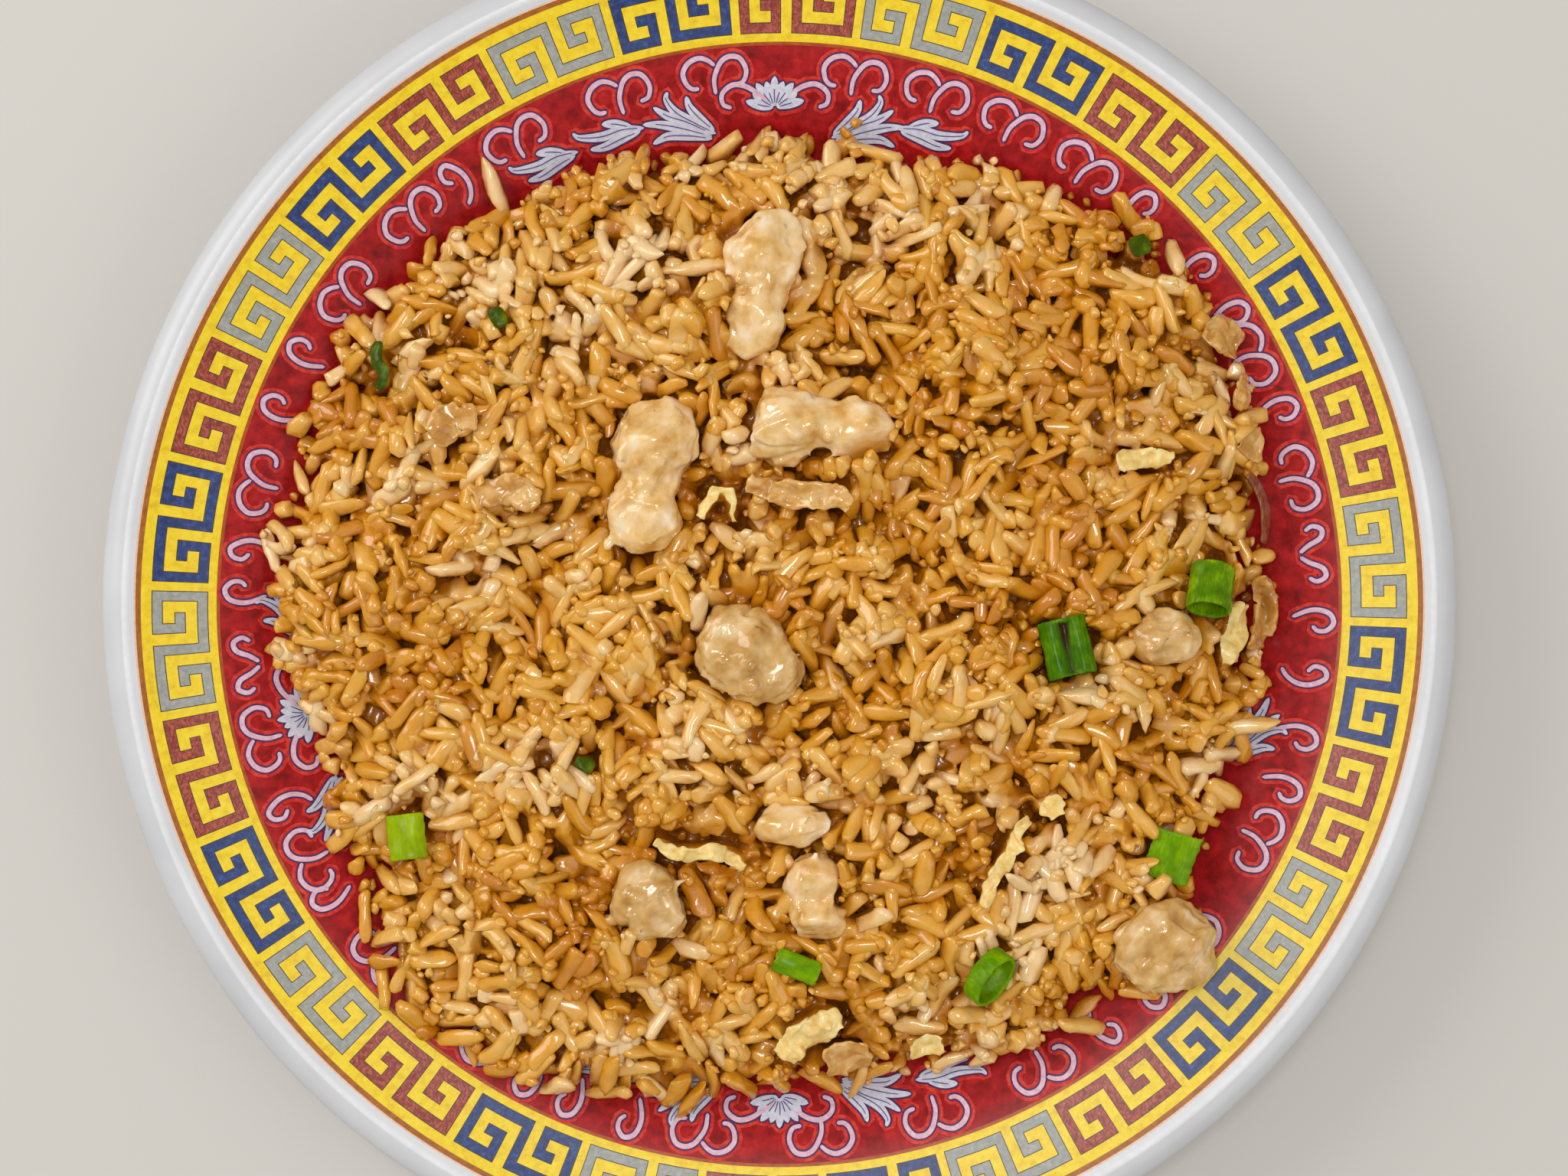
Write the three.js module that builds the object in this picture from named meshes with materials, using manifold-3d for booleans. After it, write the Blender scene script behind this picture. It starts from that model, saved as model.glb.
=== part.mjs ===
// Plate of chicken fried rice: a round melamine plate that carries a heap of fried rice, with the
// chicken, scallion, egg and onion that lie in the heap's surface. Millimetres, +Z up.
// The origin is the middle of the foot ring, on the plane that the plate stands on.
// Seen from above, +X is the right of the plate and +Y its far side.
import * as THREE from 'three';
import { mergeVertices } from 'three/addons/utils/BufferGeometryUtils.js';
import Module from 'manifold-3d';

const wasm = await Module();
wasm.setup();

// The plate
const PLATE_RADIUS = 127;
const FLOOR_TOP = 5.5;
const WALL = 3.2;
const WELL_RADIUS = 64;
const WELL_RISE = 11;
const BAND_RADIUS = 107;
const RIM_RISE = 8;
const CREST_RADIUS = 122.5;
const LIP_DROP = 4.5;
const LIP_CURL = 1.6;
const FOOT_RADIUS = 68;
const FOOT_WIDTH = 3.5;
const FOOT_HEIGHT = 2.5;
const FOOT_DRAFT = 0.8;
const PLATE_SIDES = 40;
// Radii where the eating side's faces are divided, from the floor's edge to the crest of the rim
const SLOPE_RADII = [74, 84, 94, 104, 113];
// Where the underside's faces are divided, and the directions of the points round the rolled lip
const UNDER_RADII = [80, 96, 112];
const LIP_ANGLES = [-70, -25, 5, 32, 60];

// The heap: its radius in plan every 15 degrees from +X, about its own centre
const HEAP_CENTRE = { x: 0, y: -3 };
const HEAP_RADII = [
  90.5, 94.5, 99, 103, 96, 92, 91, 92.5, 92.5, 96.5, 98.5, 96.5,
  95, 90, 94, 103, 99.5, 93, 88, 89, 92.5, 100, 91, 91,
];
const HEAP_TOP = 33;
const HEAP_EDGE = 2.5;
// How flat its top stays before the sides fall, and how round they fall
const SIDE_POWER = 5;
const SIDE_ROUNDING = 0.55;
const HEAP_RELIEF = 1.4;
const RELIEF_SPANS = [15, 19, 31];
const HEAP_CELLS = 31;
const CELL_JITTER = 0.5;
const BUMP = 1.5;

// A cooked long grain, and the gap that every piece keeps from its neighbours
const GRAIN_LENGTH = 8.5;
const GRAIN_WIDTH = 2.8;
const GRAIN_LENGTH_SHARES = [0.8, 1.15];
const GRAIN_SHOULDER = { width: 0.7, along: 0.72 };
const GRAIN_SIDES = 5;
const GRAIN_STAND = 0.56;
const GAP = 0.35;
const POCKET_GAP = 0.8;
const GRAIN_DIP = 0.25;
const TOP_GRAIN_CELLS = 6;
const TOP_GRAIN_SPREAD = 0.86;
const EDGE_GRAINS = 32;
const EDGE_SCATTER = 2.5;

// How much a piece of chicken's skin varies, as a share of its reach
const SKIN_VARIATION = 0.08;
// Chicken: place in plan, how far its middle is sunk, and lobes as [x, y, half x, half y, half z]
const CHICKEN = [
  { at: [-3.4, 59.3], sink: 1.5, lobes: [[0.5, 6, 8.3, 9, 6.5], [-1.2, -8, 6, 7, 5.5]] },
  { at: [7.6, 32.8], sink: 1.5, lobes: [[-7.3, 0.2, 8, 8.4, 6.5], [7, -0.8, 8.3, 6.5, 5.5]] },
  { at: [-24, 23.6], sink: 1.5, lobes: [[1.5, 7, 9.5, 8.5, 6.5], [-1, -8, 7.5, 8, 6]] },
  { at: [-6, -9.6], sink: 1.5, lobes: [[-1, 1, 9.5, 9, 5.8], [4, -3, 8, 6.5, 5.2]] },
  { at: [71.8, -63.7], sink: -2.5, lobes: [[0, 0, 10, 9, 6], [2, 2, 8, 7.5, 6.6]] },
  { at: [-23.5, -55.4], sink: 1.2, lobes: [[-1, 1.5, 7.2, 6.8, 5], [1.5, -3, 6, 5, 4.6]] },
  { at: [6.6, -54.4], sink: 1.2, lobes: [[0, 4, 6, 5.6, 4.8], [0, -4, 5.6, 5, 4.8]] },
  { at: [71.2, -6], sink: 0.8, lobes: [[0, 0, 6.4, 5.8, 4.8]] },
  { at: [2.8, -40.6], sink: 1, lobes: [[0, 0, 8, 3.8, 3.8]] },
];

// Scallion: a slice of a hollow leaf, or a panel of its wall where arc is under 360 degrees.
// half is the section's half width and half height, turn and tilt aim the leaf's own axis.
const SCALLION = [
  { at: [79.6, 2.9], half: [4.3, 4], length: 8.6, arc: 360, turn: 80, tilt: 22, lift: 2.2 },
  { at: [52.8, -7.9], half: [4.6, 3], length: 10.8, arc: 310, turn: 102, tilt: 6, lift: 1.2 },
  { at: [-68.7, -43], half: [3.8, 2.4], length: 8.6, arc: 150, turn: 97, tilt: 8, lift: 0.6 },
  { at: [72.7, -46.5], half: [4.8, 2], length: 9.6, arc: 150, turn: 72, tilt: -10, lift: 1.2 },
  { at: [3.2, -66.8], half: [2.5, 1.6], length: 8.6, arc: 170, turn: -22, tilt: 5, lift: 0.6 },
  { at: [38.8, -68.7], half: [5.6, 3.6], length: 4.2, arc: 360, turn: -36, tilt: -42, lift: 1.5 },
];
const SCALLION_WALL = 0.8;
const RING_SIDES = 12;
const PANEL_SIDES = 8;

// Thin pieces: [name, plan points of the centreline, width, thickness, height of the waves]
const SHEETS = [
  ['leaf_bit_1', [[-74.3, 48.8], [-74.9, 45.5], [-72.8, 42.6], [-74.6, 39.8]], 2.6, 0.8, 0.5],
  ['leaf_bit_2', [[-52.8, 54.6], [-51.6, 52.7], [-50.9, 51]], 3.2, 0.8, 0.3],
  ['leaf_bit_3', [[66.2, 68.6], [66.8, 66.6], [67.3, 64.6]], 4.4, 0.8, 0.3],
  ['leaf_bit_4', [[-37.4, -28.4], [-35.6, -29.2], [-34, -30.2]], 2.8, 0.8, 0.3],
  ['egg_1', [[0.6, -84.6], [3.4, -80.6], [7.8, -78.6], [11.4, -76.4]], 6.4, 1.1, 1.2],
  ['egg_2', [[-22.8, -43.4], [-18.6, -46.4], [-13.4, -45.6], [-9.4, -46.2], [-6.2, -48.4]], 3, 0.9, 0.9],
  ['egg_3', [[38.2, -55.2], [39.4, -50.4], [42.4, -46.2], [43.4, -42.4], [45.4, -39.4]], 3, 0.9, 0.9],
  ['egg_4', [[48.6, -39], [50.2, -36.6], [51.6, -35]], 4.2, 1, 0.6],
  ['egg_5', [[-14.2, 15.6], [-12.6, 20.6], [-9.8, 21.4], [-8.4, 15]], 2.2, 0.9, 0.6],
  ['egg_6', [[24.4, -83.4], [27.6, -82.2], [31, -81.8]], 4, 1, 0.7],
  ['egg_7', [[62, 26], [67.2, 27.4], [72.6, 26.4]], 3.6, 0.9, 0.7],
  ['egg_8', [[86, 0.4], [84.8, -5.4], [83.6, -11.4]], 4.4, 0.9, 0.9],
  ['onion_1', [[-63.8, 31.2], [-60.2, 33.6], [-55.4, 34.6]], 6.6, 1.6, 0.5],
  ['onion_2', [[-55.8, 19.6], [-50.6, 21.4], [-44.6, 19]], 5.6, 1.5, 0.8],
  ['onion_3', [[-6.2, 22.4], [0.6, 20.4], [8.6, 20.6], [13.4, 18.8]], 5.4, 0.9, 0.8],
  ['onion_4', [[78.8, 50.8], [82.4, 50.4], [85.8, 48.4]], 7, 1.4, 0.6],
  ['onion_5', [[87.4, 43.2], [86.8, 40], [85.8, 36.6]], 3.4, 1.8, 0.3],
  ['onion_6', [[88.6, 33.6], [88.6, 30.4], [87.4, 27.6]], 5, 1.2, 0.4],
  ['onion_7', [[90.4, 5.2], [91.4, -1.6], [89.4, -8.4]], 5.4, 1.6, 0.5],
  ['cabbage_1', [[8.2, -85.2], [12.2, -84.8], [16.4, -84]], 6.2, 0.9, 0.7],
  ['brown_strip', [[87.2, 24.4], [90, 21], [91.2, 16.4], [90.6, 11.4]], 2.4, 1.6, 0.2],
];
const SHEET_STEPS = 5;
const SHEET_COLUMNS = 3;
const SHEET_LIFT = 1.2;
const SHEET_END_WIDTH = 0.72;
// Length along a thin piece for one radian of its wave, and how far the wave turns across it
const WAVE_SPAN = 1.6;
const WAVE_TURN = 1.3;

const material = (color, roughness) => new THREE.MeshStandardMaterial({ color, roughness, metalness: 0 });
const melamine = material('#c81e20', 0.25);
const friedRice = material('#c9974f', 0.5);
const chickenMeat = material('#d8b48a', 0.45);
const scallionGreen = material('#5d9a1e', 0.4);
const cookedEgg = material('#f0d787', 0.5);
const cookedOnion = material('#d9b679', 0.4);
const brownedStrip = material('#8a4a22', 0.45);

// Seeded random numbers, so that the model is the same each time
function seeded(seed) {
  let state = seed;
  return () => {
    state = (state + 0x6d2b79f5) | 0;
    let mixed = Math.imul(state ^ (state >>> 15), 1 | state);
    mixed = (mixed + Math.imul(mixed ^ (mixed >>> 7), 61 | mixed)) ^ mixed;
    return ((mixed ^ (mixed >>> 14)) >>> 0) / 4294967296;
  };
}

// One closed mesh with shared vertices and no empty triangles
function weld(geometry) {
  geometry.deleteAttribute('normal');
  geometry.deleteAttribute('uv');
  const merged = mergeVertices(geometry, 1e-4);
  const corners = merged.index.array;
  const kept = [];
  for (let i = 0; i < corners.length; i += 3) {
    const [a, b, c] = [corners[i], corners[i + 1], corners[i + 2]];
    if (a !== b && b !== c && c !== a) kept.push(a, b, c);
  }
  merged.setIndex(kept);
  merged.computeVertexNormals();
  return merged;
}

function toSolid(geometry) {
  return new wasm.Manifold(new wasm.Mesh({
    numProp: 3,
    vertProperties: Float32Array.from(geometry.attributes.position.array),
    triVerts: Uint32Array.from(geometry.index.array),
  }));
}

function toGeometry(solid) {
  const mesh = solid.getMesh();
  const geometry = new THREE.BufferGeometry();
  geometry.setAttribute('position', new THREE.BufferAttribute(new Float32Array(mesh.vertProperties), 3));
  geometry.setIndex([...mesh.triVerts]);
  geometry.computeVertexNormals();
  return geometry;
}

// A solid of revolution about +Z, from [radius, height] pairs that start and end on the axis
function turned(pairs, sides) {
  const points = pairs.map(([radius, height]) => new THREE.Vector2(radius, height));
  return weld(new THREE.LatheGeometry(points, sides).rotateX(Math.PI / 2));
}

// Height of the plate's eating side: a flat floor, a well wall and a rim that keeps rising
function plateTop(radius) {
  const well = THREE.MathUtils.smoothstep(radius, WELL_RADIUS, BAND_RADIUS);
  const rim = Math.max(0, radius - WELL_RADIUS) / (CREST_RADIUS - WELL_RADIUS);
  return FLOOR_TOP + WELL_RISE * well + RIM_RISE * rim ** 2;
}

// The plate is pressed in one piece: floor, well wall, rim with a rolled lip, and a foot ring
function makePlate() {
  const crest = plateTop(CREST_RADIUS);
  const lipWidth = PLATE_RADIUS - CREST_RADIUS;
  const footInner = FOOT_RADIUS - FOOT_WIDTH;
  const under = UNDER_RADII.map((radius) => [radius, plateTop(radius) - WALL]);
  const lip = LIP_ANGLES.map((degrees) => {
    const angle = THREE.MathUtils.degToRad(degrees);
    const drop = degrees < 0 ? LIP_CURL : LIP_DROP;
    return [CREST_RADIUS + lipWidth * Math.cos(angle), crest - LIP_DROP + drop * Math.sin(angle)];
  });
  const slope = [CREST_RADIUS, ...SLOPE_RADII.toReversed(), WELL_RADIUS];
  const profile = [
    [0, FOOT_HEIGHT],
    [footInner - FOOT_DRAFT, FOOT_HEIGHT],
    [footInner, 0],
    [FOOT_RADIUS, 0],
    [FOOT_RADIUS + FOOT_DRAFT, plateTop(FOOT_RADIUS + FOOT_DRAFT) - WALL],
    ...under,
    [CREST_RADIUS - 1, crest - WALL],
    ...lip,
    ...slope.map((radius) => [radius, plateTop(radius)]),
    [0, FLOOR_TOP],
  ];
  return turned(profile, PLATE_SIDES);
}

// Everything under the plate's eating side raised by the gap, which trims the heap's underside
function makePlateClearance() {
  const radii = [CREST_RADIUS, ...SLOPE_RADII.toReversed(), WELL_RADIUS, 0];
  const profile = [
    [0, -FOOT_HEIGHT],
    [CREST_RADIUS, -FOOT_HEIGHT],
    ...radii.map((radius) => [radius, plateTop(radius) + GAP]),
  ];
  return turned(profile, PLATE_SIDES);
}

// Radius of the heap's outline in a direction, eased between the measured ones
function heapRadius(angle) {
  const count = HEAP_RADII.length;
  const step = (angle / (2 * Math.PI) + 1) * count;
  const before = Math.floor(step);
  const share = THREE.MathUtils.smoothstep(step - before, 0, 1);
  return THREE.MathUtils.lerp(HEAP_RADII[before % count], HEAP_RADII[(before + 1) % count], share);
}

// Height of the heap's surface, without its grains: a wide top with low relief and steep sides
function heapTop(x, y) {
  const angle = Math.atan2(y - HEAP_CENTRE.y, x - HEAP_CENTRE.x);
  const outline = heapRadius(angle);
  const share = Math.min(1, Math.hypot(x - HEAP_CENTRE.x, y - HEAP_CENTRE.y) / outline);
  const rimX = HEAP_CENTRE.x + outline * Math.cos(angle);
  const rimY = HEAP_CENTRE.y + outline * Math.sin(angle);
  const edge = plateTop(Math.hypot(rimX, rimY)) + HEAP_EDGE;
  const [near, wide, wider] = RELIEF_SPANS;
  const waves = Math.sin(x / near + 1) * Math.cos(y / wide) + Math.sin((x + y) / wider);
  const rise = HEAP_TOP + HEAP_RELIEF * waves - edge;
  return edge + rise * (1 - share ** SIDE_POWER) ** SIDE_ROUNDING;
}

// Middle and reach in plan of every topping, filled as they are made
const footprints = [];

function nearTopping(x, y, margin) {
  return footprints.some((spot) => Math.hypot(x - spot.x, y - spot.y) < spot.reach + margin);
}

// The heap before its grains are added: a grid drawn out to the outline, with bumps of grain size
function makeHeapCore() {
  const random = seeded(7);
  const side = HEAP_CELLS + 1;
  const positions = [];
  for (let row = 0; row < side; row += 1) {
    for (let column = 0; column < side; column += 1) {
      const inside = row > 0 && column > 0 && row < HEAP_CELLS && column < HEAP_CELLS;
      const jitter = inside ? CELL_JITTER : 0;
      const u = 2 * (column + jitter * (random() - 0.5)) / HEAP_CELLS - 1;
      const v = 2 * (row + jitter * (random() - 0.5)) / HEAP_CELLS - 1;
      const angle = Math.atan2(v, u);
      const reach = Math.max(Math.abs(u), Math.abs(v)) * heapRadius(angle);
      const x = HEAP_CENTRE.x + reach * Math.cos(angle);
      const y = HEAP_CENTRE.y + reach * Math.sin(angle);
      const bump = inside && !nearTopping(x, y, 2) ? BUMP * (2 * random() - 1) : 0;
      positions.push(x, y, heapTop(x, y) + bump);
    }
  }
  const indices = [];
  for (let row = 0; row < HEAP_CELLS; row += 1) {
    for (let column = 0; column < HEAP_CELLS; column += 1) {
      const corner = row * side + column;
      indices.push(corner, corner + 1, corner + side + 1);
      indices.push(corner, corner + side + 1, corner + side);
    }
  }
  const rim = [];
  for (let i = 0; i < HEAP_CELLS; i += 1) rim.push(i);
  for (let i = 0; i < HEAP_CELLS; i += 1) rim.push(i * side + HEAP_CELLS);
  for (let i = HEAP_CELLS; i > 0; i -= 1) rim.push(HEAP_CELLS * side + i);
  for (let i = HEAP_CELLS; i > 0; i -= 1) rim.push(i * side);
  const skirt = positions.length / 3;
  for (const corner of rim) positions.push(positions[3 * corner], positions[3 * corner + 1], 0);
  const middle = positions.length / 3;
  positions.push(HEAP_CENTRE.x, HEAP_CENTRE.y, 0);
  rim.forEach((corner, i) => {
    const next = (i + 1) % rim.length;
    indices.push(corner, skirt + i, skirt + next);
    indices.push(corner, skirt + next, rim[next]);
    indices.push(middle, skirt + next, skirt + i);
  });
  const geometry = new THREE.BufferGeometry();
  geometry.setAttribute('position', new THREE.Float32BufferAttribute(positions, 3));
  geometry.setIndex(indices);
  return geometry;
}

// One grain of cooked rice along +Z: round in section, blunt at both ends
function makeGrain(length) {
  const half = length / 2;
  const thick = GRAIN_WIDTH / 2;
  const shoulder = [GRAIN_SHOULDER.width * thick, GRAIN_SHOULDER.along * half];
  const profile = [[0, -half], [shoulder[0], -shoulder[1]], [thick, 0], shoulder, [0, half]];
  return turned(profile, GRAIN_SIDES);
}

// A grain laid on the heap at a plan point, raised until both of its ends are clear of the plate
function layGrain(x, y, random) {
  const length = GRAIN_LENGTH * THREE.MathUtils.lerp(...GRAIN_LENGTH_SHARES, random());
  const turn = 2 * Math.PI * random();
  const dip = GRAIN_DIP * (2 * random() - 1);
  const level = Math.cos(dip);
  const along = new THREE.Vector3(level * Math.cos(turn), level * Math.sin(turn), Math.sin(dip));
  let z = heapTop(x, y) + GRAIN_STAND;
  for (const end of [-length / 2, 0, length / 2]) {
    const floor = plateTop(Math.hypot(x + along.x * end, y + along.y * end)) + GRAIN_WIDTH / 2 + GAP;
    z = Math.max(z, floor - along.z * end);
  }
  const pose = new THREE.Quaternion().setFromUnitVectors(new THREE.Vector3(0, 0, 1), along);
  return makeGrain(length).applyQuaternion(pose).translate(x, y, z);
}

// Grains that stand out of the heap: spread evenly over its top and close together round its edge
function makeGrains() {
  const random = seeded(21);
  const grains = [];
  for (let row = 0; row < TOP_GRAIN_CELLS; row += 1) {
    for (let column = 0; column < TOP_GRAIN_CELLS; column += 1) {
      const u = 2 * (column + random()) / TOP_GRAIN_CELLS - 1;
      const v = 2 * (row + random()) / TOP_GRAIN_CELLS - 1;
      const x = HEAP_CENTRE.x + TOP_GRAIN_SPREAD * u * heapRadius(0);
      const y = HEAP_CENTRE.y + TOP_GRAIN_SPREAD * v * heapRadius(Math.PI / 2);
      if (!nearTopping(x, y, GRAIN_LENGTH / 2)) grains.push(layGrain(x, y, random));
    }
  }
  for (let i = 0; i < EDGE_GRAINS; i += 1) {
    const angle = 2 * Math.PI * (i + 0.5 * random()) / EDGE_GRAINS;
    const reach = heapRadius(angle) - EDGE_SCATTER * random();
    const x = HEAP_CENTRE.x + reach * Math.cos(angle);
    const y = HEAP_CENTRE.y + reach * Math.sin(angle);
    if (!nearTopping(x, y, GRAIN_LENGTH / 2)) grains.push(layGrain(x, y, random));
  }
  return grains;
}

// The rice is one solid: core and grains joined, trimmed to the plate, with a pocket under each topping
function makeRice(pockets) {
  let rice = toSolid(makeHeapCore());
  for (const grain of makeGrains()) rice = rice.add(toSolid(grain));
  rice = rice.subtract(toSolid(makePlateClearance()));
  for (const pocket of pockets) rice = rice.subtract(toSolid(pocket));
  const bodies = rice.decompose().toSorted((a, b) => b.volume() - a.volume());
  return toGeometry(bodies[0]);
}

// Distance from the piece's middle to its skin in a direction: the farthest of its lobes
function lobeReach(direction, lobes) {
  let reach = 0;
  for (const [x, y, halfX, halfY, halfZ] of lobes) {
    const half = new THREE.Vector3(halfX, halfY, halfZ);
    const ray = direction.clone().divide(half);
    const middle = new THREE.Vector3(x, y, 0).divide(half);
    const across = ray.dot(middle);
    const inside = across ** 2 - ray.lengthSq() * (middle.lengthSq() - 1);
    if (inside > 0) reach = Math.max(reach, (across + Math.sqrt(inside)) / ray.lengthSq());
  }
  return reach;
}

// A torn piece of cooked chicken: rounded lobes with a slightly uneven skin
function chickenGeometry(lobes, grow) {
  const random = seeded(lobes.length + 11);
  const geometry = weld(new THREE.IcosahedronGeometry(1, 2));
  const position = geometry.attributes.position;
  for (let i = 0; i < position.count; i += 1) {
    const direction = new THREE.Vector3().fromBufferAttribute(position, i).normalize();
    const reach = lobeReach(direction, lobes) * (1 - SKIN_VARIATION * random()) + grow;
    position.setXYZ(i, direction.x * reach, direction.y * reach, direction.z * reach);
  }
  geometry.computeVertexNormals();
  return geometry;
}

// A slice of hollow scallion leaf, extruded along its axis from a ring or from a part of one
function scallionGeometry({ half, length, arc }, grow) {
  const [halfWidth, halfHeight] = half;
  const whole = arc === 360;
  const steps = whole ? RING_SIDES : PANEL_SIDES;
  const spread = THREE.MathUtils.degToRad(arc) + (whole ? 0 : 2 * grow / halfWidth);
  const start = Math.PI / 2 - spread / 2;
  const ring = (inset) => Array.from({ length: whole ? steps : steps + 1 }, (_, i) => {
    const angle = start + spread * i / steps;
    return new THREE.Vector2((halfWidth - inset) * Math.cos(angle), (halfHeight - inset) * Math.sin(angle));
  });
  const outer = ring(-grow);
  const inner = ring(SCALLION_WALL + grow);
  const shape = new THREE.Shape(whole ? outer : [...outer, ...inner.toReversed()]);
  if (whole && grow === 0) shape.holes.push(new THREE.Path(inner));
  const depth = length + 2 * grow;
  const geometry = new THREE.ExtrudeGeometry(shape, { depth, steps: 1, bevelEnabled: false });
  geometry.translate(0, 0, -depth / 2);
  return weld(geometry);
}

// A thin wavy piece that follows the heap, with a face of two triangles a cell on both sides
function sheetGeometry(points, width, thickness, wave, grow) {
  const flat = points.map(([x, y]) => new THREE.Vector3(x, y, 0));
  const path = new THREE.CatmullRomCurve3(flat);
  const waves = path.getLength() / WAVE_SPAN;
  const positions = [];
  const indices = [];
  const columns = SHEET_COLUMNS;
  for (const level of [1, -1]) {
    for (let i = 0; i <= SHEET_STEPS; i += 1) {
      const share = i / SHEET_STEPS;
      const middle = path.getPointAt(share);
      const along = path.getTangentAt(share);
      const overshoot = grow * (2 * share - 1);
      const taper = THREE.MathUtils.lerp(SHEET_END_WIDTH, 1, Math.sin(Math.PI * share));
      for (let j = 0; j < columns; j += 1) {
        const across = (2 * j / (columns - 1) - 1) * (taper * width / 2 + grow);
        const x = middle.x + along.x * overshoot - along.y * across;
        const y = middle.y + along.y * overshoot + along.x * across;
        const ripple = wave * Math.sin(waves * share + WAVE_TURN * j);
        positions.push(x, y, heapTop(x, y) + SHEET_LIFT + ripple + level * (thickness / 2 + grow));
      }
    }
  }
  const rows = SHEET_STEPS + 1;
  const under = rows * columns;
  for (let i = 0; i < SHEET_STEPS; i += 1) {
    for (let j = 0; j < columns - 1; j += 1) {
      const corner = i * columns + j;
      const [a, b, c, d] = [corner, corner + columns, corner + columns + 1, corner + 1];
      indices.push(a, b, c, a, c, d);
      indices.push(under + a, under + c, under + b, under + a, under + d, under + c);
    }
  }
  const border = [];
  for (let j = 0; j < columns - 1; j += 1) border.push(j);
  for (let i = 0; i < SHEET_STEPS; i += 1) border.push(i * columns + columns - 1);
  for (let j = columns - 1; j > 0; j -= 1) border.push(SHEET_STEPS * columns + j);
  for (let i = SHEET_STEPS; i > 0; i -= 1) border.push(i * columns);
  border.forEach((corner, i) => {
    const next = border[(i + 1) % border.length];
    indices.push(corner, next, under + next, corner, under + next, under + corner);
  });
  const geometry = new THREE.BufferGeometry();
  geometry.setAttribute('position', new THREE.Float32BufferAttribute(positions, 3));
  geometry.setIndex(indices);
  geometry.computeVertexNormals();
  return geometry;
}

const plateOfRice = new THREE.Group();
const pockets = [];

function addNode(name, geometry, finish) {
  const mesh = new THREE.Mesh(geometry, finish);
  mesh.name = name;
  plateOfRice.add(mesh);
  return mesh;
}

// The pocket is the piece's own form, grown by the gap and set at the piece's place
function addPocket(mesh, grown, reach) {
  mesh.updateMatrixWorld();
  const box = new THREE.Box3().setFromObject(mesh);
  const middle = box.getCenter(new THREE.Vector3());
  footprints.push({ x: middle.x, y: middle.y, reach });
  pockets.push(grown.applyMatrix4(mesh.matrixWorld));
}

function addChicken() {
  CHICKEN.forEach(({ at: [x, y], sink, lobes }, i) => {
    const mesh = addNode(`chicken_${i + 1}`, chickenGeometry(lobes, 0), chickenMeat);
    mesh.position.set(x, y, heapTop(x, y) - sink);
    const reach = Math.max(...lobes.map((lobe) => Math.hypot(lobe[0], lobe[1]) + lobe[3]));
    addPocket(mesh, chickenGeometry(lobes, POCKET_GAP), 0.8 * reach);
  });
}

function addScallion() {
  SCALLION.forEach((piece, i) => {
    const [x, y] = piece.at;
    const mesh = addNode(`scallion_${i + 1}`, scallionGeometry(piece, 0), scallionGreen);
    mesh.position.set(x, y, heapTop(x, y) + piece.lift);
    mesh.rotation.order = 'ZYX';
    mesh.rotation.z = THREE.MathUtils.degToRad(piece.turn + 90);
    mesh.rotation.x = THREE.MathUtils.degToRad(90 + piece.tilt);
    addPocket(mesh, scallionGeometry(piece, POCKET_GAP), piece.length / 2);
  });
}

function addSheets() {
  const finishes = {
    leaf: scallionGreen,
    egg: cookedEgg,
    onion: cookedOnion,
    cabbage: cookedOnion,
    brown: brownedStrip,
  };
  for (const [name, points, width, thickness, wave] of SHEETS) {
    const [kind] = name.split('_');
    const mesh = addNode(name, sheetGeometry(points, width, thickness, wave, 0), finishes[kind]);
    addPocket(mesh, sheetGeometry(points, width, thickness, wave, POCKET_GAP), width);
  }
}

addNode('plate', makePlate(), melamine);
addChicken();
addScallion();
addSheets();
addNode('rice', makeRice(pockets), friedRice);

export default plateOfRice;
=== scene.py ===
import math

import bmesh
import bpy
import numpy as np
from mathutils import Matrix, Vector
from mathutils.bvhtree import BVHTree
from mathutils.kdtree import KDTree


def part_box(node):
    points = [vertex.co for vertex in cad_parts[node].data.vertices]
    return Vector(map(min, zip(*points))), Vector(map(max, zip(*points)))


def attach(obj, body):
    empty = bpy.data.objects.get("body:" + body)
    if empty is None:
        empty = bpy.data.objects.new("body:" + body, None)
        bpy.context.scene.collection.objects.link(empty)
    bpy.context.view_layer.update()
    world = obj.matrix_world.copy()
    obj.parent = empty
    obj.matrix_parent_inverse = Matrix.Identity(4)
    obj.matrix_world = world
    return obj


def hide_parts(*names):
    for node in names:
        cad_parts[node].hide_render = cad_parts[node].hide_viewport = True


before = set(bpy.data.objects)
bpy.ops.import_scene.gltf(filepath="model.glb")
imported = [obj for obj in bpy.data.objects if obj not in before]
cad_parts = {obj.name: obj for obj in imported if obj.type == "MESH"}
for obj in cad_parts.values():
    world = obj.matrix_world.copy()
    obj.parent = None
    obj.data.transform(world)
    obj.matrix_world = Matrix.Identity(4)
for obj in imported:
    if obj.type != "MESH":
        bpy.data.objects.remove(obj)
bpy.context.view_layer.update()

# Table, daylight and camera
# The plate stands on a pale level table, lit by a large soft window on the left, a soft lamp
# overhead and the bright room around it. The eye is straight above the plate, an arm's length away.
MM = 0.001
TABLE_SIDE = 3200 * MM
EYE = Vector((0.88, 3.08, 624.5)) * MM
SENSOR = 36
LENS = 73.9
WINDOW_PLACE = Vector((-1120, 620, 800)) * MM
WINDOW_SIDE = 900 * MM
WINDOW_POWER = 8.5
BOUNCE_PLACE = Vector((900, -500, 900)) * MM
BOUNCE_SIDE = 900 * MM
BOUNCE_POWER = 2.5
LAMP_PLACE = Vector((-70, 100, 1200)) * MM
LAMP_SIDE = 300 * MM
LAMP_POWER = 4.4
ROOM_STRENGTH = 0.52


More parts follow.
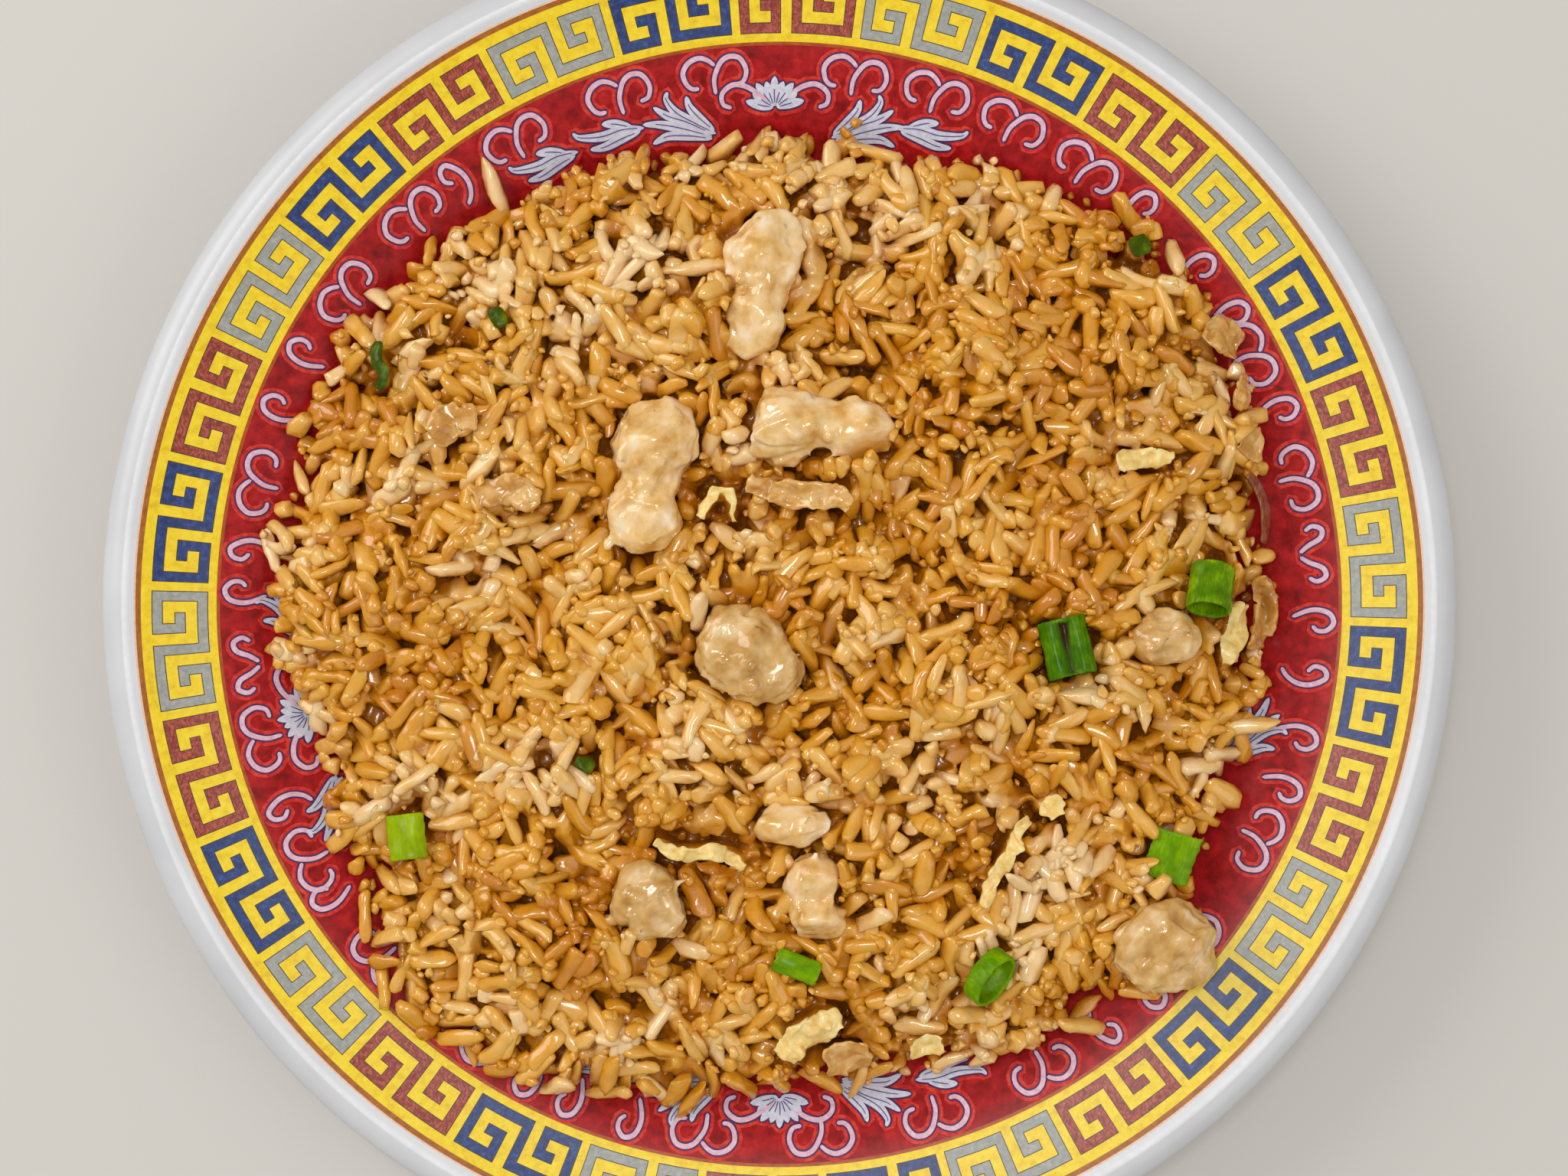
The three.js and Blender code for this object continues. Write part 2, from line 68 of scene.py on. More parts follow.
def linear(shade):
    """A scene-linear colour from an sRGB hex value."""
    parts = [int(shade[i:i + 2], 16) / 255 for i in (1, 3, 5)]
    return [p / 12.92 if p <= 0.04045 else ((p + 0.055) / 1.055) ** 2.4 for p in parts] + [1.0]


def node(tree, kind, inputs=None, stops=None, **settings):
    """Adds a shader node with its settings, its input values or links, and its colour stops."""
    made = tree.nodes.new(kind)
    for name, value in settings.items():
        setattr(made, name, value)
    for socket, value in (inputs or {}).items():
        if isinstance(value, bpy.types.NodeSocket):
            tree.links.new(value, made.inputs[socket])
        else:
            made.inputs[socket].default_value = linear(value) if isinstance(value, str) else value
    if stops:
        ramp = made.color_ramp.elements
        ramp.remove(ramp[1])
        for number, (place, shade) in enumerate(stops):
            element = ramp.new(place) if number else ramp[0]
            element.position = place
            element.color = linear(shade)
    return made


def new_material(name):
    """A material with an empty node tree, and that tree."""
    made = bpy.data.materials.new(name)
    made.use_nodes = True
    made.node_tree.nodes.clear()
    return made, made.node_tree


def mesh_object(name, points, *face_sets, smooth=True):
    """An object from points in millimetres and arrays of faces with three or four corners."""
    mesh = bpy.data.meshes.new(name)
    points = np.asarray(points, float) * MM
    mesh.vertices.add(len(points))
    mesh.vertices.foreach_set("co", points.astype(np.float32).ravel())
    corners = np.concatenate([faces.ravel() for faces in face_sets])
    sizes = np.concatenate([np.full(len(faces), faces.shape[1]) for faces in face_sets])
    mesh.loops.add(len(corners))
    mesh.loops.foreach_set("vertex_index", corners.astype(np.int32))
    mesh.polygons.add(len(sizes))
    starts = np.concatenate([[0], np.cumsum(sizes)[:-1]])
    mesh.polygons.foreach_set("loop_start", starts.astype(np.int32))
    mesh.polygons.foreach_set("use_smooth", np.full(len(sizes), smooth))
    mesh.update(calc_edges=True)
    made = bpy.data.objects.new(name, mesh)
    bpy.context.scene.collection.objects.link(made)
    return made


def add_light(name, place, side, power):
    """A square soft light that faces the middle of the plate."""
    data = bpy.data.lights.new(name, "AREA")
    data.size = side
    data.energy = power
    made = bpy.data.objects.new(name, data)
    made.location = place
    made.rotation_euler = (-place).to_track_quat("-Z", "Y").to_euler()
    bpy.context.scene.collection.objects.link(made)


half = TABLE_SIDE / MM / 2
corners = [[-half, -half, 0], [half, -half, 0], [half, half, 0], [-half, half, 0]]
table = mesh_object("table", corners, np.array([[0, 1, 2, 3]]), smooth=False)

# Painted board: an even pale matt paint that takes soft shadows
painted_board, tree = new_material("painted_board")
board = node(tree, "ShaderNodeBsdfPrincipled", {"Base Color": "#cfcbc5", "Roughness": 0.6})
node(tree, "ShaderNodeOutputMaterial", {"Surface": board.outputs[0]})
table.data.materials.append(painted_board)

add_light("window", WINDOW_PLACE, WINDOW_SIDE, WINDOW_POWER)
add_light("bounce", BOUNCE_PLACE, BOUNCE_SIDE, BOUNCE_POWER)
add_light("lamp", LAMP_PLACE, LAMP_SIDE, LAMP_POWER)
room = bpy.data.worlds.new("room")
room.use_nodes = True
room.node_tree.nodes["Background"].inputs["Color"].default_value = linear("#f6f4ef")
room.node_tree.nodes["Background"].inputs["Strength"].default_value = ROOM_STRENGTH
scene = bpy.context.scene
scene.world = room
scene.view_settings.view_transform = "Standard"

lens = bpy.data.cameras.new("camera")
lens.sensor_width = SENSOR
lens.lens = LENS
lens.clip_start = 10 * MM
camera = bpy.data.objects.new("camera", lens)
camera.location = EYE
scene.collection.objects.link(camera)
scene.camera = camera

# Plate
# The real plate is melamine, pressed in one piece in a hot mould: a flat floor, a sloping border
# that rises to a rolled white lip, and a low ring underneath to stand on.
PLATE_RADIUS = 127
FLOOR_TOP = 5.5
WALL = 3.2
WELL_RADIUS = 64
WELL_RISE = 11
BAND_RADIUS = 107
RIM_RISE = 8
CREST_RADIUS = 122.5
LIP_DROP = 4.5
LIP_CURL = 1.6
FOOT_OUTER = 68
FOOT_INNER = 64.5
FOOT_HEIGHT = 2.5
FOOT_DRAFT = 0.8
PLATE_COLUMNS = 270
CLOUDS_PER_MM = 0.06
SCUFFS_PER_MM = 0.9


def plate_top(radius):
    """Height of the plate's eating side at a distance from its middle."""
    share = np.clip((radius - WELL_RADIUS) / (BAND_RADIUS - WELL_RADIUS), 0, 1)
    rim = np.maximum(0, radius - WELL_RADIUS) / (CREST_RADIUS - WELL_RADIUS)
    return FLOOR_TOP + WELL_RISE * share ** 2 * (3 - 2 * share) + RIM_RISE * rim ** 2


def ring_solid(name, rings, first_pole, last_pole):
    """A closed skin over rings of points, from a pole under them, outwards, and back to a pole on top."""
    count, columns = rings.shape[:2]
    points = np.vstack([rings.reshape(-1, 3), [first_pole], [last_pole]])
    column = np.arange(columns)
    following = (column + 1) % columns
    starts = np.arange(count - 1)[:, None] * columns
    bands = np.stack([
        starts + column, starts + following, starts + columns + following, starts + columns + column,
    ], axis=-1).reshape(-1, 4)
    last = (count - 1) * columns
    bottom = np.stack([following, column, np.full(columns, len(points) - 2)], axis=-1)
    top = np.stack([last + column, last + following, np.full(columns, len(points) - 1)], axis=-1)
    return mesh_object(name, points, bands, bottom, top)


def lathe(name, profile, columns):
    """A solid of revolution from [radius, height] pairs that start and end on the axis."""
    profile = np.asarray(profile, float)
    turns = np.linspace(0, 2 * np.pi, columns, endpoint=False)
    radii, heights = profile[1:-1, :1], profile[1:-1, 1:]
    rings = np.stack([radii * np.cos(turns), radii * np.sin(turns), heights + 0 * turns], axis=-1)
    return ring_solid(name, rings, [0, 0, profile[0, 1]], [0, 0, profile[-1, 1]])


crest = float(plate_top(CREST_RADIUS))
lip_turn = np.radians(np.linspace(-80, 86, 26))
lip_drop = np.where(lip_turn < 0, LIP_CURL, LIP_DROP)
lip = np.stack([
    CREST_RADIUS + (PLATE_RADIUS - CREST_RADIUS) * np.cos(lip_turn),
    crest - LIP_DROP + lip_drop * np.sin(lip_turn),
], axis=-1)
slope_radii = np.concatenate([np.linspace(CREST_RADIUS, WELL_RADIUS, 50), [58, 44, 22]])
under_radii = np.linspace(FOOT_OUTER + 3, CREST_RADIUS - 2, 26)
foot_top = float(plate_top(FOOT_OUTER + FOOT_DRAFT)) - WALL
profile = np.vstack([
    [[0, FOOT_HEIGHT], [30, FOOT_HEIGHT], [FOOT_INNER - FOOT_DRAFT - 1, FOOT_HEIGHT]],
    [[FOOT_INNER - FOOT_DRAFT, FOOT_HEIGHT - 0.2], [FOOT_INNER - 0.1, 0.3], [FOOT_INNER + 0.2, 0]],
    [[FOOT_OUTER - 0.2, 0], [FOOT_OUTER + 0.1, 0.3], [FOOT_OUTER + FOOT_DRAFT, foot_top - 0.1]],
    np.stack([under_radii, plate_top(under_radii) - WALL], axis=-1),
    lip,
    np.stack([slope_radii, plate_top(slope_radii)], axis=-1),
    [[0, FLOOR_TOP]],
])
plate = lathe("melamine_plate", profile, PLATE_COLUMNS)

# Moulded melamine: dense and glossy, with a faint cloudiness and fine wear that dull the shine
pressed_melamine, tree = new_material("pressed_melamine")
place = node(tree, "ShaderNodeTexCoord")
cloud = node(tree, "ShaderNodeTexNoise", {
    "Vector": place.outputs["Object"], "Scale": CLOUDS_PER_MM / MM, "Detail": 4.0,
})
whites = node(tree, "ShaderNodeValToRGB", {"Fac": cloud.outputs["Fac"]},
              stops=[(0.3, "#c6c6ca"), (0.7, "#d2d2d5")])
wear = node(tree, "ShaderNodeTexNoise", {
    "Vector": place.outputs["Object"], "Scale": SCUFFS_PER_MM / MM, "Detail": 2.0,
})
dull = node(tree, "ShaderNodeMapRange", {"Value": wear.outputs["Fac"], "To Min": 0.28, "To Max": 0.42})
relief = node(tree, "ShaderNodeBump", {
    "Height": cloud.outputs["Fac"], "Strength": 0.12, "Distance": 0.3 * MM,
})
glaze = node(tree, "ShaderNodeBsdfPrincipled", {
    "Base Color": whites.outputs["Color"], "Roughness": dull.outputs["Result"], "IOR": 1.6,
    "Normal": relief.outputs["Normal"],
})
node(tree, "ShaderNodeOutputMaterial", {"Surface": glaze.outputs[0]})
plate.data.materials.append(pressed_melamine)
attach(plate, "root")
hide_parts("plate")

# Printed border: yellow band with its fret
# A printed foil is pressed into the face of the melamine: a yellow band between two brown lines,
# with thirty double-hooked fret figures in grey, maroon and blue, each edged by a thin dark line.
FRET_FIGURES = 30
FRET_START = math.radians(142.3)
FRET_FILL = 585 / 628
FRET_OUTER = 117.3
FRET_INNER = 107.1
FRET_ROWS = ["####.######", "#..#.#....#", "#.##.#.##.#", "#....#.#..#", "######.####"]
FRET_EDGE = 0.085
BAND_LINES = [105.0, 105.6, FRET_INNER, FRET_OUTER, 119.2, 120.15, 120.45]
FOIL_LIFT = 0.05
SCRATCH_PITCH = 0.9


def printed(name, mottle, scale, sheen=0.3, scratch=None):
    """Printed foil under melamine glaze: ink with the mottling of its screen, below a glossy skin."""
    made, tree = new_material(name)
    place = node(tree, "ShaderNodeTexCoord")
    grain = node(tree, "ShaderNodeTexNoise", {
        "Vector": place.outputs["Object"], "Scale": 1 / (scale * MM), "Detail": 5.0, "Roughness": 0.65,
    })
    ink = node(tree, "ShaderNodeValToRGB", {"Fac": grain.outputs["Fac"]}, stops=mottle)
    colour = ink.outputs["Color"]
    if scratch:
        maze = node(tree, "ShaderNodeTexWave", {
            "Vector": place.outputs["Object"], "Scale": 0.3 / (SCRATCH_PITCH * MM), "Distortion": 14.0,
            "Detail": 1.0, "Detail Scale": 1.4,
        })
        lines = node(tree, "ShaderNodeMapRange", {
            "Value": maze.outputs["Fac"], "From Min": 0.62, "From Max": 0.9, "To Max": 0.55,
        })
        colour = node(tree, "ShaderNodeMix", {
            0: lines.outputs["Result"], 6: colour, 7: scratch,
        }, data_type="RGBA").outputs[2]
    skin = node(tree, "ShaderNodeBsdfPrincipled", {
        "Base Color": colour, "Roughness": sheen, "IOR": 1.5, "Specular IOR Level": 0.22,
    })
    node(tree, "ShaderNodeOutputMaterial", {"Surface": skin.outputs[0]})
    return made


# Screen-printed inks under the glaze: flat colours with a fine mottle, and worn lines in the maroon
yellow_ink = printed("yellow_ink", [(0.3, "#dcb40c"), (0.5, "#eccb14"), (0.72, "#f2d834")], 1.6)
inks = {
    "grey": printed("grey_ink", [(0.32, "#8a8c86"), (0.55, "#9c9d98"), (0.7, "#b0a9a6")], 0.9),
    "maroon": printed(
        "maroon_ink", [(0.4, "#8a2f22"), (0.5, "#a14433"), (0.62, "#b25645")], 0.9, scratch="#571712",
    ),
    "blue": printed("blue_ink", [(0.35, "#1b2758"), (0.55, "#273c76"), (0.7, "#3a5690")], 1.1),
    "edge": printed("dark_line_ink", [(0.4, "#3a2c20"), (0.6, "#4c3a2a")], 0.8),
    "inner": printed("inner_line_ink", [(0.35, "#97400f"), (0.65, "#b3551d")], 1.2),
    "outer": printed("outer_line_ink", [(0.35, "#93500f"), (0.65, "#ab671c")], 1.2),
    "fade": printed("line_fade_ink", [(0.35, "#e0b08c"), (0.65, "#ecc9ae")], 0.8),
}
ink_order = ["yellow", "grey", "maroon", "blue", "edge", "inner", "outer", "fade"]
fret_cells = np.array([[mark == "#" for mark in row] for row in FRET_ROWS])
cell_rows, cell_columns = fret_cells.shape
pitch = 2 * math.pi / FRET_FIGURES
cell_turn = pitch * FRET_FILL / cell_columns
cell_height = (FRET_OUTER - FRET_INNER) / cell_rows
splits = np.array([0, FRET_EDGE, 1 - FRET_EDGE])
start = FRET_START + pitch * (1 - FRET_FILL) / 2
figure_turns = np.concatenate([
    (np.arange(cell_columns)[:, None] + splits).ravel() * cell_turn, [cell_columns * cell_turn],
])
band_turns = (start + pitch * np.arange(FRET_FIGURES)[:, None] + figure_turns).ravel()
fret_radii = FRET_OUTER - (np.arange(cell_rows)[:, None] + splits).ravel() * cell_height
band_radii = np.concatenate([BAND_LINES[:0:-1][:3], fret_radii, BAND_LINES[2::-1]])

# Which ink each small face takes, worked out for one figure from its own and its neighbours' cells
padded = np.pad(fret_cells, 1)
figure_inks = np.zeros((cell_rows * 3, cell_columns * 3), int)
for i in range(cell_rows * 3):
    for j in range(cell_columns * 3):
        row, column = i // 3 + 1, j // 3 + 1
        if not padded[row, column]:
            continue
        up, across = i % 3 - 1, j % 3 - 1
        inside = padded[row + up, column] and padded[row, column + across]
        figure_inks[i, j] = 1 if inside and padded[row + up, column + across] else 4
face_inks = np.zeros((len(band_radii) - 1, len(band_turns)), int)
for figure in range(FRET_FIGURES):
    colour = 1 + figure % 3
    block = np.where(figure_inks == 1, colour, figure_inks)
    left = figure * (cell_columns * 3 + 1)
    face_inks[3:3 + cell_rows * 3, left:left + cell_columns * 3] = block
face_inks[0] = ink_order.index("fade")
face_inks[1] = ink_order.index("outer")
face_inks[-1] = ink_order.index("inner")


def foil(name, radii, turns, lift):
    """A closed ring of printed foil that follows the plate's face, and its points as an array."""
    radii, turns = np.asarray(radii)[:, None], np.asarray(turns)[None, :]
    heights = plate_top(radii) + lift + 0 * turns
    points = np.stack([radii * np.cos(turns), radii * np.sin(turns), heights], axis=-1)
    rows, columns = heights.shape
    column = np.arange(columns)
    following = (column + 1) % columns
    starts = np.arange(rows - 1)[:, None] * columns
    faces = np.stack([
        starts + column, starts + columns + column, starts + columns + following, starts + following,
    ], axis=-1).reshape(-1, 4)
    return mesh_object(name, points.reshape(-1, 3), faces), points


fret_band, _ = foil("fret_band", band_radii, band_turns, FOIL_LIFT)
for name in ink_order:
    fret_band.data.materials.append(yellow_ink if name == "yellow" else inks[name])
fret_band.data.polygons.foreach_set("material_index", face_inks.ravel().astype(np.int32))
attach(fret_band, "root")

# Printed border: red ground
# Inside the band the foil is red, mottled from crimson to orange red, down to where the rice hides it.
GROUND_INNER = 60
RED_MOTTLE = [(0.28, "#6c0709"), (0.45, "#920e11"), (0.6, "#ad171a"), (0.75, "#c02820")]

# Red ink under the glaze: its broad mottle gives the ground its depth
red_ink = printed("red_ink", RED_MOTTLE, 2.6)
ground_radii = np.linspace(BAND_LINES[0], GROUND_INNER, 30)
ground_turns = np.linspace(0, 2 * np.pi, PLATE_COLUMNS, endpoint=False)
red_ground, _ = foil("red_ground", ground_radii, ground_turns, FOIL_LIFT)
red_ground.data.materials.append(red_ink)
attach(red_ground, "root")

# Printed border: scrolls, flowers and leaves
# On the red, pale scrolls like ram's horns run in a row under the band, with open lotus flowers and
# curling leaves nearer the rice. Each has a fine violet line round it and a brighter red glow.
SCROLL_RADIUS = 101.9
SCROLL_HALF_WIDTH = 0.46
PETAL_HALF_WIDTH = 0.85
LINE_SWELL = 0.3
LEAF_SWELL = 0.75
PETAL_SWELL = 0.8
LINE_WIDTH = 0.34
GLOW_WIDTH = 1.0
VEIN_HALF_WIDTH = 0.1
STROKE_END = 0.02
INK_LIFTS = {"glow": 0.08, "line": 0.14, "paint": 0.2, "petal": 0.2, "vein": 0.27}
LIFT_STEP = 0.0015
LIFT_JUMP = 7
LIFT_TURNS = 4
VEIN_STRETCH = slice(2, -5)
HORNS = [
    [(-3.2, -3.7), (-4.9, -3.3), (-5.7, -1.4), (-4.8, 0.8), (-3.0, 1.4), (-1.4, 0.8), (-0.3, -0.6),
     (0.5, -2.5), (0.5, -5.0)],
    [(0.1, 0.1), (1.4, 1.2), (3.0, 1.7), (5.0, 1.0), (6.2, -0.7), (5.8, -2.6), (4.8, -3.6), (3.5, -3.7)],
]
HOOK = [
    [(-1.4, -1.6), (-2.3, -0.6), (-2.2, 1.0), (-0.8, 2.2), (0.9, 1.5), (1.6, -0.4), (1.4, -2.5), (0.2, -5.2)],
]
TALL_HOOK = [
    [(1.9, -6.4), (0.4, -5.2), (-0.6, -3.2), (-0.5, -0.8), (1.0, 1.6), (2.6, 1.2), (3.0, -0.6), (1.8, -1.8)],
]
PAIR = [
    [(-0.4, -3.4), (-1.6, -1.8), (-2.8, 0.4), (-4.4, 0.8), (-5.2, -0.8), (-4.4, -2.2)],
    [(0.4, -3.4), (1.6, -1.8), (2.8, 0.4), (4.4, 0.8), (5.2, -0.8), (4.4, -2.2)],
]
SCROLLS = [
    (HORNS, [13.5, 27.7, 54.7, 63.9, 72.7, 81.7, 96.8, 107.3, 119.4, 133.2, 144.1, 166.7, 194.4, 208.4]),
    (HORNS, [221.5, 234.0, 261.7, 274.3, 286.9, 299.5, 320.5, 333.7]),
    (HOOK, [21.4, 32.8, 38.9, 47.9, 152.3, 158.8, 178.9, 213.1, 242.3, 247.3, 254.1, 314.0, 340.2, 345.9]),
    (HOOK, [358.5]),
    (TALL_HOOK, [126.7, 173.5, 201.6, 228.0, 306.9, 351.7]),
    (PAIR, [5.4, 186.5]),
]
LOTUS_ARM = [(1.2, 1.0), (3.0, 2.4), (5.4, 3.8), (7.9, 4.1), (9.9, 2.6), (9.8, 0.7), (8.2, 0.0)]
LOTUSES = [(90.5, 93.8), (193.0, 91.5), (270.0, 93.0)]
LOTUS_PETALS = 9
LOTUS_REACH = 5.6
LOTUS_SPREAD = 1.35
LOTUS_SHORTER = 0.12
LEAF = [
    [(0, 0), (3.8, 2.4), (6.9, 4.6), (8.4, 7.0), (8.0, 8.4)],
    [(0.6, 0), (5.0, 2.6), (8.6, 4.2), (11.0, 6.0)],
    [(0.8, -0.4), (6.0, 1.6), (10.0, 2.8), (13.4, 3.2)],
    [(0.8, -0.8), (5.0, 0.2), (9.0, 0.6), (12.0, -0.4)],
    [(0.2, 0.6), (2.6, 3.0), (4.2, 5.2), (4.6, 7.2)],
]
FROND = [
    [(0, 0), (4.0, 0.7), (8.0, 0.5), (12.0, 1.3), (13.2, 2.4)],
    [(0.8, -0.4), (4.6, -0.8), (8.0, -1.4), (10.8, -1.2)],
    [(2.0, 0.6), (5.0, 2.0), (7.4, 2.6)],
]
LEAVES = [
    (LEAF, 83.6, 89.0, -1), (LEAF, 97.7, 90.0, 1), (FROND, 76.1, 92.7, -1), (FROND, 105.9, 93.6, 1),
    (FROND, 114.0, 93.6, 1), (LEAF, 184.5, 90.0, -1), (LEAF, 201.0, 90.0, 1), (LEAF, 263.0, 91.5, -1),
    (LEAF, 277.0, 91.5, 1), (FROND, 286.0, 93.5, 1), (FROND, 254.0, 93.5, -1), (LEAF, 341.0, 90.0, 1),
]


def spline(points, steps=7):
    """A smooth path through points, with a few steps between each two."""
    points = np.asarray(points, float)
    padded = np.vstack([2 * points[0] - points[1], points, 2 * points[-1] - points[-2]])
    shares = np.linspace(0, 1, steps, endpoint=False)[:, None]
    parts = []
    for i in range(1, len(points)):
        a, b, c, d = padded[i - 1:i + 3]
        parts.append(0.5 * (
            2 * b + (c - a) * shares + (2 * a - 5 * b + 4 * c - d) * shares ** 2
            + (3 * b - a - 3 * c + d) * shares ** 3
        ))
    return np.vstack(parts + [points[-1:]])


def brush(path, half_width, swell, extra):
    """The two edges of a brush stroke with round ends, as pairs of points in the motif's own plane."""
    path = spline(path)
    first, last = path[0] - path[1], path[-1] - path[-2]
    reach = max(extra, STROKE_END)
    path = np.vstack([
        path[:1] + reach * first / np.linalg.norm(first),
        path,
        path[-1:] + reach * last / np.linalg.norm(last),
    ])
    ahead = np.gradient(path, axis=0)
    ahead /= np.linalg.norm(ahead, axis=1, keepdims=True)
    gone = np.concatenate([[0], np.cumsum(np.linalg.norm(np.diff(path, axis=0), axis=1))])
    share = gone / gone[-1]
    width = half_width * (1 - swell + swell * np.sin(np.pi * share) ** 0.7) + extra
    end = np.minimum(gone, gone[-1] - gone) / np.maximum(width, 1e-6)
    width = width * np.sqrt(1 - np.clip(1 - end, 0, 1) ** 2)
    across = np.stack([-ahead[:, 1], ahead[:, 0]], axis=-1) * width[:, None]
    return np.stack([path - across, path + across], axis=1)


def joined(parts):
    """Several pairs of points and faces as one pair."""
    starts = np.cumsum([0] + [len(points) for points, _ in parts[:-1]])
    points = np.concatenate([points for points, _ in parts])
    return points, np.concatenate([faces + start for (_, faces), start in zip(parts, starts)])


strokes = {name: [] for name in INK_LIFTS}


def paint(paths, degrees, radius, side, half_width, swell, ink, turn=0.0):
    """Adds a motif to the print: its glow, its dark line and its pale paint, stroke by stroke."""
    angle = math.radians(degrees)
    outwards = np.array([math.cos(angle), math.sin(angle)])
    sideways = np.array([-math.sin(angle), math.cos(angle)])
    spin = np.array([[math.cos(turn), math.sin(turn)], [-math.sin(turn), math.cos(turn)]])
    widths = [("glow", half_width, GLOW_WIDTH), ("line", half_width, LINE_WIDTH), (ink, half_width, 0.0)]
    if ink == "petal":
        widths.append(("vein", VEIN_HALF_WIDTH, 0.0))
    for number, path in enumerate(paths):
        for name, half, extra in widths:
            chosen = spline(path)[VEIN_STRETCH] if name == "vein" else path
            edges = brush(chosen, half, LINE_SWELL if name == "vein" else swell, extra) @ spin
            spots = outwards * radius + edges[..., 1:] * outwards + side * edges[..., :1] * sideways
            spots = spots[:, ::side]
            # Strokes that cross lie at slightly different heights
            jump = LIFT_JUMP * (len(strokes[name]) % LIFT_TURNS)
            lift = INK_LIFTS[name] + LIFT_STEP * (number + jump)
            heights = plate_top(np.hypot(spots[..., 0], spots[..., 1])) + lift
            strokes[name].append(np.concatenate([spots, heights[..., None]], axis=-1))


for motif, places in SCROLLS:
    for degrees in places:
        paint(motif, degrees, SCROLL_RADIUS, 1, SCROLL_HALF_WIDTH, LINE_SWELL, "paint")
lotus_arms = [[(side * x, y) for x, y in LOTUS_ARM] for side in (-1, 1)]
for degrees, radius in LOTUSES:
    paint(lotus_arms, degrees, radius, 1, SCROLL_HALF_WIDTH, LINE_SWELL, "paint")
    for number in range(LOTUS_PETALS):
        lean = LOTUS_SPREAD * (2 * number / (LOTUS_PETALS - 1) - 1)
        reach = LOTUS_REACH * (1 - LOTUS_SHORTER * (number % 2))
        petal = [(0.0, 0.4), (0.12, 0.45 * reach), (0.0, reach)]
        paint([petal], degrees, radius, 1, PETAL_HALF_WIDTH, PETAL_SWELL, "petal", lean)
for motif, degrees, radius, side in LEAVES:
    paint(motif, degrees, radius, side, PETAL_HALF_WIDTH, LEAF_SWELL, "petal")

# Scroll inks: a red brighter than the ground, a violet line, and two pale opaque inks on top
stroke_inks = {
    "glow": printed("glow_red_ink", [(0.35, "#b01a18"), (0.5, "#cf2f26"), (0.66, "#dd4a34")], 1.3),
    "line": printed("violet_line_ink", [(0.35, "#43204a"), (0.65, "#5e3560")], 0.8),
    "paint": printed("pale_pink_ink", [(0.3, "#cf9fb0"), (0.5, "#dbb4c4"), (0.7, "#e6cad6")], 1.0),
    "petal": printed("pale_blue_ink", [(0.3, "#bcbcd2"), (0.5, "#cfd0df"), (0.7, "#dedfe8")], 1.0),
    "vein": printed("vein_line_ink", [(0.35, "#4a3f78"), (0.65, "#65598e")], 0.8),
}
for name, edges_list in strokes.items():
    parts = []
    for edges in edges_list:
        left = 2 * np.arange(len(edges) - 1)
        faces = np.stack([left + 1, left + 3, left + 2, left], axis=-1)
        parts.append((edges.reshape(-1, 3), faces))
    piece = mesh_object(f"scroll_{name}", *joined(parts))
    piece.data.materials.append(stroke_inks[name])
    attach(piece, "root")

# Rice: the shape of the heap
# Boiled long-grain rice is fried with soy sauce and turned out in one heap, which keeps the marks of
# the spoon: a wide uneven top with clumps and hollows, and steep ragged sides.
CELL = 0.5
GRID_LOW = np.array([-114.0, -118.0])
GRID_SIZE = (456, 460)
CLUMPS = [(15.0, 2.5, 11), (8.0, 2.4, 12), (4.0, 1.2, 13)]
CRACKS = [(17.0, 3.2, 14), (10.0, 2.4, 15)]
CRACK_SHARPNESS = 3.8
SMOOTHING = 2.0
HEAP_ALLOWANCE = 1.1
TOPPING_HOLLOW = 1.0
CORE_INSET = 3.0
CORE_DEPTH = 5.2
SOFT_TOPPINGS = ("chicken", "onion", "cabbage", "scallion")
SOFT_GIVE = 1.0
TOPPING_BLUR = 0.7
TOPPING_EDGE = 0.12
PATCH_SPAN = 5.0
HOLLOW_SPAN = 3.5
THINNEST_RICE = 1.2
NO_TOPPING = 999
TOPPING_BED = 1.0
TOPPING_MARGIN = 1.0
CORE_BLUR = 0.8
CORE_COVER = 2
RAY_FROM_BELOW = -50
RAY_FROM_ABOVE = 150
HASH_X, HASH_Y, HASH_Z = 73856093, 19349663, 83492791
HASH_SEED = 2654435761
HASH_MIX = 1274126177


def value_noise(points, span, seed):
    """Smooth noise between -1 and 1 at points in millimetres, with features of the given span."""
    scaled = np.asarray(points, float) / span + 1000
    base = np.floor(scaled).astype(np.int64)
    share = scaled - base
    share = share ** 2 * (3 - 2 * share)
    total = np.zeros(len(scaled))
    for corner in range(8):
        step = np.array([corner & 1, corner >> 1 & 1, corner >> 2 & 1])
        spot = base + step
        mixed = spot[:, 0] * HASH_X ^ spot[:, 1] * HASH_Y ^ spot[:, 2] * HASH_Z ^ seed * HASH_SEED
        mixed = (mixed ^ (mixed >> 13)) * HASH_MIX & 0x7FFFFFFF
        mixed = (mixed ^ (mixed >> 16)) & 0xFFFF
        weight = np.prod(np.where(step == 1, share, 1 - share), axis=1)
        total += weight * (2 * mixed / 0xFFFF - 1)
    return total


def blurred(field, spread):
    """A grid of heights, blurred over a spread in millimetres."""
    rows = np.fft.fftfreq(field.shape[0], CELL)[:, None]
    columns = np.fft.rfftfreq(field.shape[1], CELL)[None, :]
    soft = np.exp(-2 * (np.pi * spread) ** 2 * (rows ** 2 + columns ** 2))
    return np.fft.irfft2(np.fft.rfft2(field) * soft, field.shape)


def node_tree_of(name):
    """A CAD node's faces, ready to be met by rays, in millimetres."""
    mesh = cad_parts[name].data
    corners = [vertex.co / MM for vertex in mesh.vertices]
    return BVHTree.FromPolygons(corners, [tuple(face.vertices) for face in mesh.polygons])


